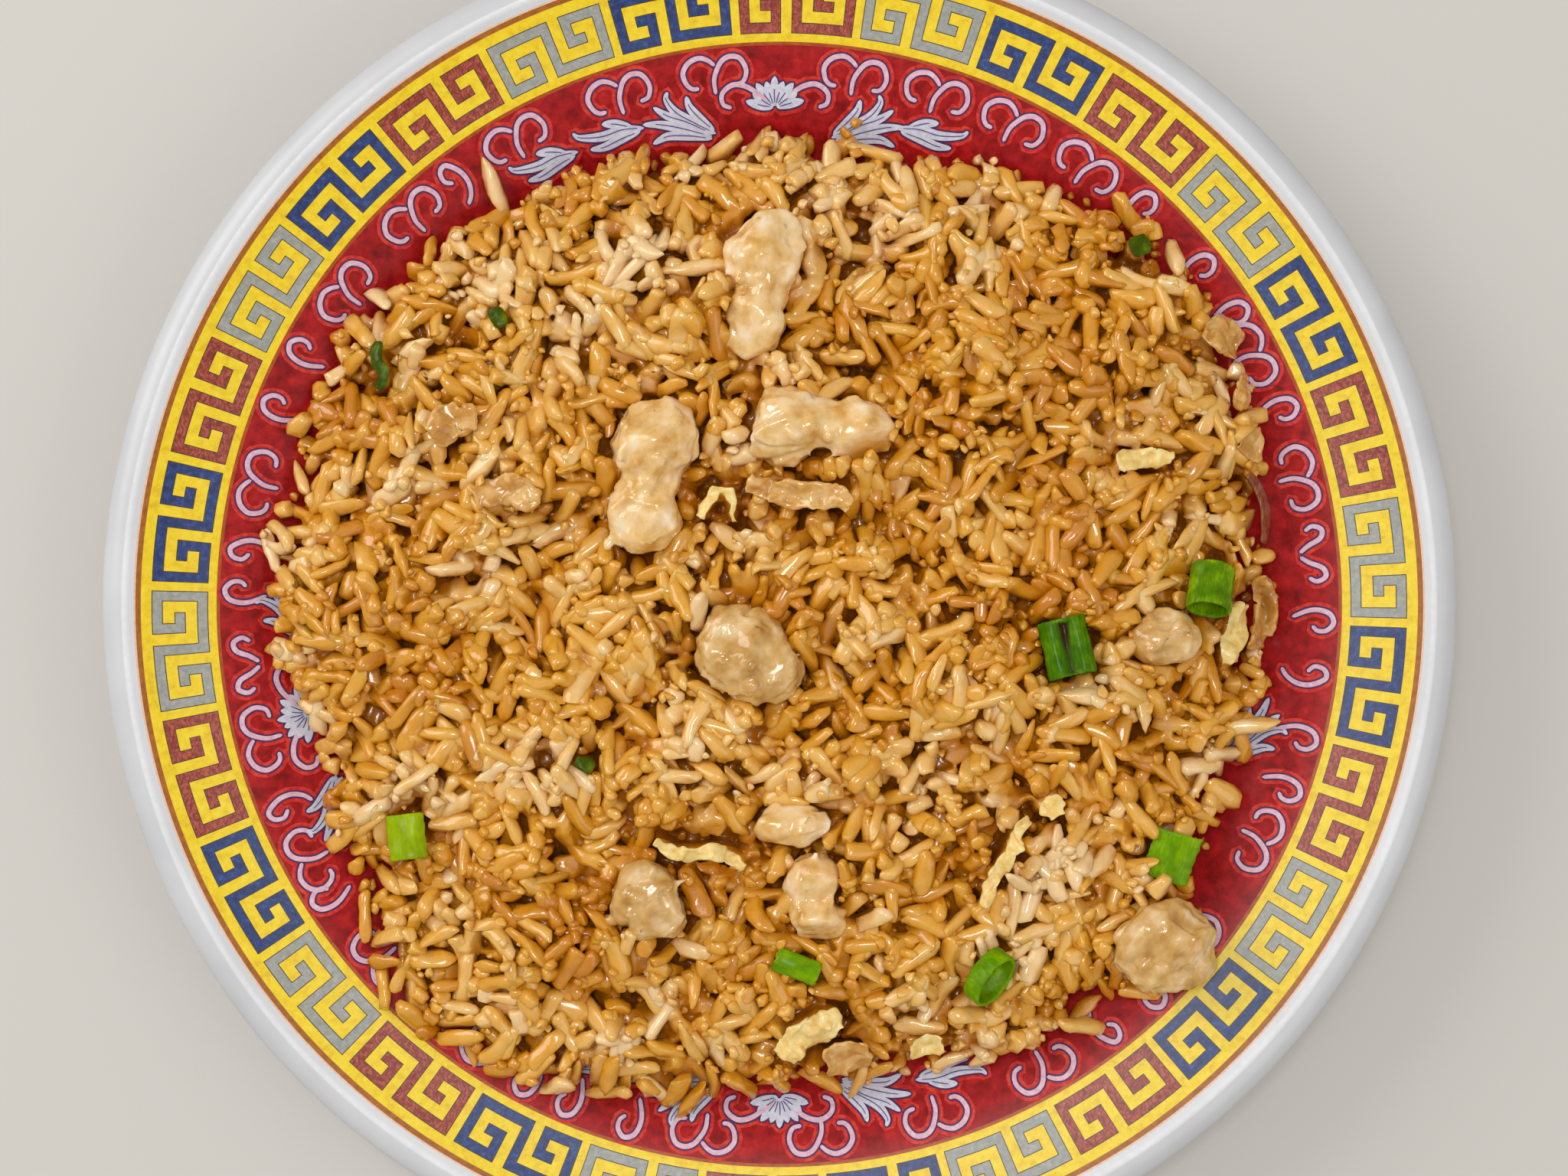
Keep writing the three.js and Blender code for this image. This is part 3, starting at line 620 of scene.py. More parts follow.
def heights_of(tree, xs, ys, upward=False):
    """Height at which a ray from above, or from below, first meets the faces; NaN where it misses."""
    start = RAY_FROM_BELOW if upward else RAY_FROM_ABOVE
    way = Vector((0, 0, 1 if upward else -1))
    found = np.full(len(xs), np.nan)
    for i, (x, y) in enumerate(zip(xs, ys)):
        hit = tree.ray_cast(Vector((x, y, start)), way)[0]
        if hit is not None:
            found[i] = hit.z
    return found


grid_x = GRID_LOW[0] + CELL * np.arange(GRID_SIZE[0])
grid_y = GRID_LOW[1] + CELL * np.arange(GRID_SIZE[1])
all_x, all_y = np.meshgrid(grid_x, grid_y, indexing="ij")
plate_face = plate_top(np.hypot(all_x, all_y))

coarse = (slice(None, None, 2), slice(None, None, 2))
rice_tree = node_tree_of("rice")
rice_heights = heights_of(rice_tree, all_x[coarse].ravel(), all_y[coarse].ravel())
rice_heights = rice_heights.reshape(all_x[coarse].shape).repeat(2, axis=0).repeat(2, axis=1)

# The top and the underside of every topping on the same grid, and where it is soft
topping_top = np.full(all_x.shape, np.nan)
topping_under = np.full(all_x.shape, np.nan)
yielding = np.zeros(all_x.shape, bool)
toppings = [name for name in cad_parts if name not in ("plate", "rice")]
for name in toppings:
    low, high = (np.array(corner[:2]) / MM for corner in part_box(name))
    first = np.maximum(0, ((low - GRID_LOW) / CELL).astype(int))
    last = ((high - GRID_LOW) / CELL).astype(int) + 2
    part = (slice(first[0], last[0]), slice(first[1], last[1]))
    tree = node_tree_of(name)
    top = heights_of(tree, all_x[part].ravel(), all_y[part].ravel()).reshape(all_x[part].shape)
    under = heights_of(tree, all_x[part].ravel(), all_y[part].ravel(), True).reshape(all_x[part].shape)
    topping_top[part] = np.fmax(topping_top[part], top)
    topping_under[part] = np.fmin(topping_under[part], under)
    yielding[part] |= ~np.isnan(top) & name.startswith(SOFT_TOPPINGS)
covered = ~np.isnan(topping_top)
heaped = ~np.isnan(rice_heights) | covered
near_topping = blurred(covered.astype(float), TOPPING_BLUR) > TOPPING_EDGE
known = heaped & ~near_topping
weights = blurred(known.astype(float), PATCH_SPAN)
filled = blurred(np.where(known, np.nan_to_num(rice_heights), 0), PATCH_SPAN) / np.maximum(weights, 1e-3)
surface = np.where(known, rice_heights, filled)
weights = blurred(heaped.astype(float), SMOOTHING)
surface = blurred(np.where(heaped, surface, 0), SMOOTHING) / np.maximum(weights, 1e-3)
flat_points = np.stack([all_x.ravel(), all_y.ravel(), 0 * all_x.ravel()], axis=-1)
for span, rise, seed in CLUMPS:
    surface += rise * value_noise(flat_points, span, seed).reshape(all_x.shape)
for span, depth, seed in CRACKS:
    edge = np.abs(value_noise(flat_points, span, seed)).reshape(all_x.shape)
    surface -= depth * np.clip(1 - CRACK_SHARPNESS * edge, 0, 1)
surface -= HEAP_ALLOWANCE + TOPPING_HOLLOW * blurred((covered & ~yielding).astype(float), HOLLOW_SPAN)
surface = np.where(heaped, np.maximum(surface, plate_face + THINNEST_RICE), plate_face)


def lowest_near(field, reach):
    """For each cell of a grid, the lowest value within a reach in millimetres."""
    steps = int(round(reach / CELL))
    lowest = field.copy()
    for axis in (0, 1):
        rows = [np.roll(lowest, shift, axis) for shift in range(-steps, steps + 1)]
        lowest = np.minimum.reduce(rows)
    return lowest


# Grains press a little way over the soft edges of the larger toppings, but stay off everything else
hard = covered & ~(yielding & (lowest_near(yielding.astype(float), SOFT_GIVE) < 0.5))
core_top = lowest_near(surface, CORE_INSET) - CORE_DEPTH
under_toppings = np.where(covered, topping_under - TOPPING_BED, NO_TOPPING)
core_top = np.minimum(core_top, lowest_near(under_toppings, TOPPING_MARGIN))
core_top = blurred(core_top, CORE_BLUR)
core_top = np.minimum(core_top, surface - CORE_COVER)


def grid_value(field, x, y):
    """A grid's value at points in millimetres, between its cells."""
    u = np.clip((x - GRID_LOW[0]) / CELL, 0, GRID_SIZE[0] - 1.001)
    v = np.clip((y - GRID_LOW[1]) / CELL, 0, GRID_SIZE[1] - 1.001)
    i, j = u.astype(int), v.astype(int)
    a, b = u - i, v - j
    near = field[i, j] * (1 - b) + field[i, j + 1] * b
    far = field[i + 1, j] * (1 - b) + field[i + 1, j + 1] * b
    return near * (1 - a) + far * a


# Rice: grains, broken grains and lumps
# Long grains swell to two and a half times their dry width when they are boiled. Most stay whole,
# some break in the pan, and some stick together with their own starch.
GRAIN_SIDES = 9
GRAIN_STATIONS = np.array([-0.95, -0.78, -0.48, -0.16, 0.16, 0.48, 0.78, 0.95])
GRAIN_KINDS = 44
SHORT_KINDS = 20
LUMP_KINDS = 24
GRAIN_LENGTHS = (7.5, 11.6)
GRAIN_WIDTHS = (2.9, 4.5)
SHORT_LENGTHS = (3.8, 6.4)
GRAIN_ENDS = (2.7, 6.5)
GRAIN_FLATNESS = (0.8, 0.98)
GRAIN_RIPPLE = 0.09
WIDE_RIDGE = 0.07
FINE_RIDGE = 0.045
BEND_MIDDLE = 0.35
GRAIN_DENT = 0.62
DENT_SPAN = 1.9
PRESSED_FACETS = (3, 6)
PRESSED_REACH = (0.6, 0.88)
PRESSED_LEAN = 0.16
BROKEN_REACH = (0.68, 1.0)
BROKEN_TURN = 0.7
BROKEN_TILT = 0.5
GRAIN_KINK = 0.75
SHORT_KINK = 0.15
LUMP_VOXEL = 0.4
LUMP_STEP = 1.5
LUMP_LENGTHS = (4.2, 9.2)
LUMP_WIDTHS = (2.6, 3.9)
LUMP_KINK = 0.4
LUMP_GRAINS = (4, 8)
LUMP_SPREADS = (0.3, 1.3)
LUMP_TILT = 0.5
LUMP_SCATTER = (1.5, 0.5, 0.7)
random = np.random.default_rng(2026)


def grain_form(length, width, kink):
    """Points of one grain along X, with a blunt or a pointed end, slight ridges, a bend and dents."""
    ends = random.uniform(*GRAIN_ENDS, 2)
    flat = random.uniform(*GRAIN_FLATNESS)
    bend = random.normal(0, kink)
    lean = random.normal(0, 0.5 * kink)
    ridge, seam = random.uniform(0, 2 * np.pi, 2)
    around = np.linspace(0, 2 * np.pi, GRAIN_SIDES, endpoint=False)
    points = []
    for u in GRAIN_STATIONS:
        power = ends[int(u > 0)]
        girth = (1 - abs(u) ** power) ** 0.5 * (1 + GRAIN_RIPPLE * math.sin(3 * u + ridge))
        shape = 1 + WIDE_RIDGE * np.cos(2 * around + ridge) + FINE_RIDGE * np.cos(3 * around + seam + u)
        arch = u * u - BEND_MIDDLE
        y = 0.5 * width * girth * shape * np.cos(around) + bend * arch
        z = 0.5 * width * flat * girth * shape * np.sin(around) + lean * arch
        points.append(np.stack([0.5 * length * u + 0 * y, y, z], axis=-1))
    rings = np.concatenate(points)
    end_arch = 1 - BEND_MIDDLE
    poles = [[side * 0.5 * length, bend * end_arch, lean * end_arch] for side in (-1, 1)]
    body = np.vstack([rings, poles])
    seed = random.integers(1, 9999)
    dents = np.stack([value_noise(body + 40 * axis, DENT_SPAN, seed) for axis in range(3)], axis=-1)
    body = body + GRAIN_DENT * dents
    # Flat facets where the grain was pressed by its neighbours, and one or two slanting broken ends
    for _ in range(random.integers(*PRESSED_FACETS)):
        angle = random.uniform(0, 2 * np.pi)
        facet = np.array([random.normal(0, PRESSED_LEAN), math.cos(angle), math.sin(angle)])
        body = cut_flat(body, facet, 0.5 * width * random.uniform(*PRESSED_REACH))
    for side in (-1, 1):
        slant = np.array([side, random.normal(0, BROKEN_TURN), random.normal(0, BROKEN_TILT)])
        body = cut_flat(body, slant, 0.5 * length * random.uniform(*BROKEN_REACH))
    return body


def cut_flat(body, facing, reach):
    """Presses the points that lie beyond a plane back onto it."""
    facing = facing / np.linalg.norm(facing)
    beyond = np.maximum(body @ facing - reach, 0)
    return body - beyond[:, None] * facing


def grain_faces():
    """Triangles of a grain: bands between its rings and a cap at each end."""
    column = np.arange(GRAIN_SIDES)
    following = (column + 1) % GRAIN_SIDES
    rings = len(GRAIN_STATIONS)
    faces = []
    for ring in range(rings - 1):
        a, b = ring * GRAIN_SIDES + column, ring * GRAIN_SIDES + following
        faces.append(np.stack([a, b, b + GRAIN_SIDES], axis=-1))
        faces.append(np.stack([a, b + GRAIN_SIDES, a + GRAIN_SIDES], axis=-1))
    last = (rings - 1) * GRAIN_SIDES
    pole = np.full(GRAIN_SIDES, rings * GRAIN_SIDES)
    faces.append(np.stack([following, column, pole], axis=-1))
    faces.append(np.stack([last + column, last + following, pole + 1], axis=-1))
    return np.concatenate(faces)


def turn_matrix(yaw, pitch, roll):
    """The rotation that rolls a piece about its length, pitches it and then turns it in plan."""
    cy, sy = math.cos(yaw), math.sin(yaw)
    cp, sp = math.cos(pitch), math.sin(pitch)
    cr, sr = math.cos(roll), math.sin(roll)
    heading = np.array([[cy, -sy, 0], [sy, cy, 0], [0, 0, 1]])
    tilt = np.array([[cp, 0, -sp], [0, 1, 0], [sp, 0, cp]])
    spin = np.array([[1, 0, 0], [0, cr, -sr], [0, sr, cr]])
    return heading @ tilt @ spin


def merged_form(points, faces, voxel, smoothings, kept=1.0):
    """Points and faces of overlapping closed pieces, melted into one skin, smoothed and thinned out."""
    raw = mesh_object("raw_form", points, faces)
    melt = raw.modifiers.new("melt", "REMESH")
    melt.mode = "VOXEL"
    melt.voxel_size = voxel * MM
    soften = raw.modifiers.new("soften", "SMOOTH")
    soften.iterations = smoothings
    soften.factor = 0.5
    if kept < 1:
        raw.modifiers.new("thin", "DECIMATE").ratio = kept
    shaped = raw.evaluated_get(bpy.context.evaluated_depsgraph_get()).to_mesh()
    found = np.empty(len(shaped.vertices) * 3, np.float32)
    shaped.vertices.foreach_get("co", found)
    shaped.calc_loop_triangles()
    triangles = np.empty(len(shaped.loop_triangles) * 3, np.int32)
    shaped.loop_triangles.foreach_get("vertices", triangles)
    raw.to_mesh_clear()
    mesh = raw.data
    bpy.data.objects.remove(raw)
    bpy.data.meshes.remove(mesh)
    return found.reshape(-1, 3).astype(float) / MM, triangles.reshape(-1, 3)


plain_faces = grain_faces()
whole_forms = [
    (grain_form(random.uniform(*GRAIN_LENGTHS), random.uniform(*GRAIN_WIDTHS), GRAIN_KINK), plain_faces)
    for _ in range(GRAIN_KINDS)
]
short_forms = [
    (grain_form(random.uniform(*SHORT_LENGTHS), random.uniform(*GRAIN_WIDTHS), SHORT_KINK), plain_faces)
    for _ in range(SHORT_KINDS)
]
lump_forms = []
for _ in range(LUMP_KINDS):
    parts = []
    spread = random.uniform(*LUMP_SPREADS)
    count = random.integers(*LUMP_GRAINS)
    for place in np.linspace(-0.5, 0.5, count) * count * LUMP_STEP:
        part = grain_form(random.uniform(*LUMP_LENGTHS), random.uniform(*LUMP_WIDTHS), LUMP_KINK)
        yaw, pitch = random.normal(0, spread), random.normal(0, LUMP_TILT)
        part = part @ turn_matrix(yaw, pitch, random.uniform(0, 6)).T
        shift = [random.normal(0, reach) for reach in LUMP_SCATTER]
        shift[1] += place
        parts.append((part + shift, plain_faces))
    form, faces = merged_form(*joined(parts), LUMP_VOXEL, 0)
    lump_forms.append((form - form.mean(axis=0), faces))

# Each piece comes down on the heap, as low as it can rest, until the heap's surface is reached
STEEPEST_REST = 46
PITCHES = np.radians(np.linspace(-STEEPEST_REST, STEEPEST_REST, 13))[:, None]
foot_grid = np.meshgrid(np.linspace(-0.97, 0.97, 27), np.linspace(-0.9, 0.9, 9))
FOOT_U, FOOT_V = (part.ravel() for part in foot_grid)
FOOT_DEPTH = np.sqrt(1 - np.abs(FOOT_U) ** 3) * np.sqrt(1 - FOOT_V ** 2)
GRAIN_SINK = 1.0
LONGEST_SEARCH = 14000
MISSES_ALLOWED = 60
GRAIN_FULLNESS = 0.92
YAW_TRIALS = 5
LEAST_HOLLOW = 0.75
LAYER = 2.5
PROUD_LIMIT = 1.2
PITCH_FREEDOM = 1.7
SHORT_SHARE = 0.18
LUMP_SHARE = 0.26
PRESS_DEPTH = 2.4
PRESS_PROUD = 0.3
END_SHIFT = 0.6
KNOBS = 1000
STEEP_PITCHES = (0.6, 1.4)
KNOB_HEIGHTS = (-0.4, 0.9)
KNOB_ROOM = 0.3
FOOT_ROOM = 1.5
TOPPING_OVERLAP = 0.3
HEAPED_SHARE = 0.6
LUMP_ROLL = 0.5
CORE_GAP = 0.1
LEAST_HEAP = 1.4
PRESSED_SHARES = [0.7, 0.3]
TONE_SPREAD = 0.12
TONE_CLUMPS = [(17.0, 0.34, 41), (7.5, 0.36, 42), (4.2, 0.18, 43)]
TONE_MIDDLE = 0.5


def grain_tone(x, y):
    """How pale a grain is: it varies from grain to grain and from clump to clump."""
    spot = np.array([[x, y, 0]])
    clumps = sum(share * value_noise(spot, span, seed)[0] for span, share, seed in TONE_CLUMPS)
    return TONE_MIDDLE + clumps + random.normal(0, TONE_SPREAD)


height = np.where(heaped, np.maximum(core_top, plate_face + CORE_GAP), plate_face)
height = np.where(hard, np.nan_to_num(topping_top), height)
open_cells = np.argwhere((surface > plate_face + LEAST_HEAP) & ~hard)
laid = {"whole": [], "short": [], "lump": []}
forms = {"whole": whole_forms, "short": short_forms, "lump": lump_forms}
half_sizes = {
    kind: [0.5 * np.ptp(points, axis=0) for points, _ in forms[kind]] for kind in forms
}


def lay(kinds, shares, target, choices, press=0.0):
    """Lets pieces of the given kinds come down on the hollows, until the heap has its target height.

    With a press, pieces that find no room are pushed that far in among their neighbours."""
    misses = 0
    full = np.zeros(height.shape, bool)
    for _ in range(LONGEST_SEARCH):
        spots = open_cells[random.integers(0, len(open_cells), choices)]
        cells = spots[:, 0], spots[:, 1]
        lacking = np.where(full[cells], 0, target[cells] - height[cells])
        best = int(np.argmax(lacking))
        if lacking[best] < LEAST_HOLLOW:
            misses += 1
            if misses > MISSES_ALLOWED:
                break
            continue
        kind = str(random.choice(kinds, p=shares))
        form = int(random.integers(0, len(forms[kind])))
        a, b, c = half_sizes[kind][form]
        spot_i, spot_j = spots[best]
        found = None
        for yaw in random.uniform(0, 2 * np.pi, YAW_TRIALS):
            heading = np.array([math.cos(yaw), math.sin(yaw)])
            x0, y0 = GRID_LOW + CELL * spots[best] + random.uniform(-END_SHIFT, END_SHIFT) * a * heading
            along = a * FOOT_U * np.cos(PITCHES)
            x = x0 + along * heading[0] - b * FOOT_V * heading[1]
            y = y0 + along * heading[1] + b * FOOT_V * heading[0]
            i = ((x - GRID_LOW[0]) / CELL + 0.5).astype(int)
            j = ((y - GRID_LOW[1]) / CELL + 0.5).astype(int)
            middle_line = a * FOOT_U * np.sin(PITCHES)
            rest = (height[i, j] - middle_line + c * FOOT_DEPTH).max(axis=1) - GRAIN_SINK
            proud = rest + (middle_line + c * FOOT_DEPTH - target[i, j]).mean(axis=1)
            pick = int(np.argmin(proud + random.uniform(0, PITCH_FREEDOM, len(rest))))
            i, j, middle_line = i[pick], j[pick], middle_line[pick]
            on_topping = hard[i, j].mean() > (0 if press else TOPPING_OVERLAP)
            barred = on_topping or heaped[i, j].mean() < HEAPED_SHARE
            if not barred and (found is None or proud[pick] < found[0]):
                found = proud[pick], x0, y0, yaw, pick, i, j, middle_line, rest[pick]
        if found is None or found[0] > PROUD_LIMIT + press:
            full[spot_i - 1:spot_i + 2, spot_j - 1:spot_j + 2] = True
            continue
        proud, x0, y0, yaw, pick, i, j, middle_line, z0 = found
        lowest = (plate_face[i, j] - middle_line + c * FOOT_DEPTH).max()
        z0 = max(z0 - np.clip(proud - PRESS_PROUD, 0, press), lowest)
        np.maximum.at(height, (i, j), z0 + middle_line + GRAIN_FULLNESS * c * FOOT_DEPTH)
        roll = random.uniform(-LUMP_ROLL, LUMP_ROLL) if kind == "lump" else random.uniform(0, 2 * np.pi)
        turn = turn_matrix(yaw, float(PITCHES[pick, 0]), roll)
        laid[kind].append((form, (x0, y0, z0), turn, grain_tone(x0, y0)))
        full[spot_i, spot_j] = bool(press)


# Grains that stand out of the heap's outline: where the tip and the foot lie in plan, and the tip's rise
STRAYS = [((-56.0, 83.4), (-51.6, 73.6), 1.6), ((92.3, -21.5), (83.0, -23.6), 0.6)]
STRAY_TONE = 0.85
for tip, foot, rise in STRAYS:
    form = int(np.argmax([half_sizes["whole"][number][0] for number in range(GRAIN_KINDS)]))
    tip, foot = np.array(tip), np.array(foot)
    base = float(grid_value(surface, foot[0], foot[1]))
    yaw = math.atan2(*(tip - foot)[::-1])
    pitch = math.atan2(rise, float(np.linalg.norm(tip - foot)))
    middle = (*(tip + foot) / 2, base + rise / 2)
    laid["whole"].append((form, middle, turn_matrix(yaw, pitch, 0.0), STRAY_TONE))


def poke(count):
    """Sets grains steeply among the others, so that only their upper ends stand out of the heap."""
    for _ in range(count):
        i, j = open_cells[random.integers(0, len(open_cells))]
        kind = str(random.choice(["whole", "short"]))
        form = int(random.integers(0, len(forms[kind])))
        half = half_sizes[kind][form][0]
        yaw, pitch = random.uniform(0, 2 * np.pi), random.uniform(*STEEP_PITCHES)
        flat = math.cos(pitch)
        along = half * np.array([flat * math.cos(yaw), flat * math.sin(yaw), math.sin(pitch)])
        top = height[i, j] + random.uniform(*KNOB_HEIGHTS)
        knob = np.array([*(GRID_LOW + CELL * np.array([i, j])), top])
        middle, foot = knob - along, knob - 2 * along
        met = grid_value(hard.astype(float), *np.stack([middle, foot])[:, :2].T).max() > 0
        if met or foot[2] < plate_top(math.hypot(foot[0], foot[1])) + FOOT_ROOM:
            continue
        near = slice(i - 1, i + 2), slice(j - 1, j + 2)
        height[near] = np.maximum(height[near], knob[2] - KNOB_ROOM)
        turn = turn_matrix(yaw, pitch, random.uniform(0, 2 * np.pi))
        laid[kind].append((form, tuple(middle), turn, grain_tone(middle[0], middle[1])))


all_kinds = ["whole", "short", "lump"]
all_shares = [1 - SHORT_SHARE - LUMP_SHARE, SHORT_SHARE, LUMP_SHARE]
lay(all_kinds, all_shares, surface - LAYER, choices=24)
lower_height = height.copy()
lay(all_kinds, all_shares, surface, choices=4)
lay(["whole", "short"], PRESSED_SHARES, surface, choices=12, press=PRESS_DEPTH)
poke(KNOBS)

# Crumbs of rice and starch lie in the hollows and stick to what is round them
CRUMB_COUNT = 1000
CRUMB_KINDS = 10
CRUMB_RADII = (0.5, 1.5)
CRUMB_SINK = 0.45
CRUMB_CHOICES = 5
CRUMB_SHIFT = 0.2
CRUMB_BULK = 0.6
CRUMB_KNOBS = 0.34
CRUMB_KNOB_SPAN = 1.1
CRUMB_STRETCH = (0.6, 1.3)
CRUMB_CUT_REACH = (0.4, 0.75)
CRUMB_SEED = 300
CRUMB_CUTS = 4
seed_ball = bmesh.new()
bmesh.ops.create_icosphere(seed_ball, subdivisions=2, radius=1)
ball_points = np.array([vertex.co[:] for vertex in seed_ball.verts])
ball_faces = np.array([[vertex.index for vertex in face.verts] for face in seed_ball.faces])
seed_ball.free()
crumb_forms = []
for kind in range(CRUMB_KINDS):
    knobs = 1 + CRUMB_KNOBS * value_noise(ball_points * 2, CRUMB_KNOB_SPAN, CRUMB_SEED + kind)
    crumb = ball_points * knobs[:, None] * random.uniform(*CRUMB_STRETCH, 3)
    for _ in range(CRUMB_CUTS):
        crumb = cut_flat(crumb, random.normal(0, 1, 3), random.uniform(*CRUMB_CUT_REACH))
    crumb_forms.append((crumb, ball_faces))
forms["crumb"] = crumb_forms
laid["crumb"] = []
for _ in range(CRUMB_COUNT):
    spots = open_cells[random.integers(0, len(open_cells), CRUMB_CHOICES)]
    lacking = surface[spots[:, 0], spots[:, 1]] - height[spots[:, 0], spots[:, 1]]
    i, j = spots[int(np.argmax(lacking))]
    size = random.uniform(*CRUMB_RADII)
    x0, y0 = GRID_LOW + CELL * np.array([i, j]) + random.uniform(-CRUMB_SHIFT, CRUMB_SHIFT, 2)
    z0 = height[i, j] + size * (1 - CRUMB_SINK)
    reach = slice(i - 1, i + 2), slice(j - 1, j + 2)
    height[reach] = np.maximum(height[reach], z0 + CRUMB_BULK * size)
    spin = turn_matrix(*random.uniform(0, 6, 3)) * size
    laid["crumb"].append((int(random.integers(0, CRUMB_KINDS)), (x0, y0, z0), spin, grain_tone(x0, y0)))

# Rice: the sticky mass
# Starch and broken rice fill the gaps and glue most of the grains into one mass, with soft fillets
# where they touch. It is built in bands, each a closed skin that reaches a little into the next.
MASS_BANDS = 4
MASS_VOXEL = 0.44
MASS_KEPT = 0.17
MASS_OVERLAP = 1.2
MASS_STEP = 0.7
FILL_DROP = 2.0
FILL_SPREAD = 0.6
FILL_BUMPS = [(2.6, 0.5, 21), (1.2, 0.4, 22)]
FOOT_SPREAD = 3.0
FOOT_DROP = 9.0
FILL_COVER = 1.0
BESIDE_BLUR = 0.5
BESIDE_EDGE = 0.02
BAND_MARGIN = 1
BASE_GAP = 0.15
LEAST_FILL = 1.0
THINNEST_FILL = 0.02
MASS_DENT = 0.3
MASS_DENT_SPAN = 1.5
LOOSE_SHARE = 0.48
LOOSE_SPREAD = 0.35
ENVELOPE_SPREAD = 4.0
ENVELOPE_LIFT = 1.4

# The mass stays below its grains, and falls away at the heap's foot and under the toppings
fill_top = blurred(lower_height, FILL_SPREAD) - FILL_DROP
fill_top -= FOOT_DROP * (1 - np.clip(2 * blurred(heaped.astype(float), FOOT_SPREAD) - 1, 0, 1))
for span, bump, seed in FILL_BUMPS:
    fill_top += bump * value_noise(flat_points, span, seed).reshape(all_x.shape)
beside_topping = blurred(covered.astype(float), BESIDE_BLUR) > BESIDE_EDGE
fill_top = np.where(beside_topping, np.minimum(fill_top, under_toppings), fill_top)
fill_top = np.where(near_topping, np.minimum(fill_top, surface - FILL_COVER), fill_top)
solid_rows = fill_top > plate_face + LEAST_FILL
row_low = np.where(solid_rows.any(axis=0), grid_x[np.argmax(solid_rows, axis=0)], np.nan)
row_high = np.where(solid_rows.any(axis=0), grid_x[-1 - np.argmax(solid_rows[::-1], axis=0)], np.nan)
filled_y = grid_y[~np.isnan(row_low)]
band_edges = np.linspace(filled_y[0], filled_y[-1], MASS_BANDS + 1)
envelope = blurred(np.maximum(height, surface), ENVELOPE_SPREAD) + ENVELOPE_LIFT


def slab(top, under):
    """Points and triangles of a closed block between two grids of points."""
    rows, columns = top.shape[:2]
    index = np.arange(rows * columns).reshape(rows, columns)
    a, b, c, d = (part.ravel() for part in (index[:-1, :-1], index[:-1, 1:], index[1:, 1:], index[1:, :-1]))
    upper = np.concatenate([np.stack([a, b, c], axis=-1), np.stack([a, c, d], axis=-1)])
    edge = np.concatenate([index[0, :-1], index[:-1, -1], index[-1, :0:-1], index[:0:-1, 0]])
    ahead = np.roll(edge, -1)
    drop = rows * columns
    near_wall = np.stack([edge, edge + drop, ahead + drop], axis=-1)
    far_wall = np.stack([edge, ahead + drop, ahead], axis=-1)
    faces = np.concatenate([upper, upper[:, ::-1] + drop, near_wall, far_wall])
    return np.vstack([top.reshape(-1, 3), under.reshape(-1, 3)]), faces


# The grains that lie highest stay loose on top, and the others melt into the mass
loose = {}
for kind in ("whole", "short"):
    spots = np.array([item[1] for item in laid[kind]])
    proud = spots[:, 2] - grid_value(envelope, spots[:, 0], spots[:, 1])
    proud += random.normal(0, LOOSE_SPREAD, len(spots))
    loose[kind] = proud > np.quantile(proud, 1 - LOOSE_SHARE)

mass_parts = []
for band in range(MASS_BANDS):
    low, high = band_edges[band], band_edges[band + 1]
    first = max(low - MASS_OVERLAP, filled_y[0])
    last = min(high + MASS_OVERLAP, filled_y[-1])
    rows = np.linspace(first, last, int((last - first) / MASS_STEP))
    left = np.interp(rows, filled_y, row_low[~np.isnan(row_low)])
    right = np.interp(rows, filled_y, row_high[~np.isnan(row_high)])
    shares = np.linspace(0, 1, int(np.max(right - left) / MASS_STEP))
    x = left[:, None] + (right - left)[:, None] * shares
    y = rows[:, None] + 0 * x
    base = plate_top(np.hypot(x, y)) + BASE_GAP
    top = grid_value(fill_top, x, y)
    top = np.where(top > base + LEAST_FILL, top, base + THINNEST_FILL)
    parts = [slab(np.stack([x, y, top], axis=-1), np.stack([x, y, base], axis=-1))]
    for kind in ("whole", "short", "lump"):
        for number, (form, spot, turn, tone) in enumerate(laid[kind]):
            outside = not low - BAND_MARGIN <= spot[1] < high + BAND_MARGIN
            if outside or (kind != "lump" and loose[kind][number]):
                continue
            body, faces = forms[kind][form]
            parts.append((body @ turn.T + spot, faces))
    mass_parts.append(merged_form(*joined(parts), MASS_VOXEL, 1, MASS_KEPT))

STAINS_PER_MM = 0.26
WRINKLES_PER_MM = 1.5

# Cooked long-grain rice: starch that is clear at the skin and cloudy white within, stained golden by
# soy sauce and coated with oil, so light enters the grain and small sharp glints stay on its ridges
cooked_rice, tree = new_material("cooked_long_grain_rice")
place = node(tree, "ShaderNodeTexCoord")
tone = node(tree, "ShaderNodeAttribute", attribute_name="tone")
depth = node(tree, "ShaderNodeAttribute", attribute_name="depth")
stain = node(tree, "ShaderNodeTexNoise", {
    "Vector": place.outputs["Object"], "Scale": STAINS_PER_MM / MM, "Detail": 3.0,
})
shift = node(tree, "ShaderNodeMath", {0: stain.outputs["Fac"], 1: 0.5}, operation="SUBTRACT")
level = node(tree, "ShaderNodeMath", {
    0: shift.outputs[0], 1: 0.65, 2: tone.outputs["Fac"],
}, operation="MULTIPLY_ADD")
shades = node(tree, "ShaderNodeValToRGB", {"Fac": level.outputs[0]}, stops=[
    (0.0, "#c87c04"), (0.28, "#d8941a"), (0.5, "#e2a430"), (0.75, "#e9b65e"), (1.0, "#f2ce96"),
])
# Painted shade: deeper points are mixed towards gold, and the deepest towards dark brown
gold = node(tree, "ShaderNodeMapRange", {"Value": depth.outputs["Fac"], "From Max": 0.5})
gold_shaded = node(tree, "ShaderNodeMix", {
    0: gold.outputs["Result"], 6: shades.outputs["Color"], 7: "#c87c04",
}, data_type="RGBA")
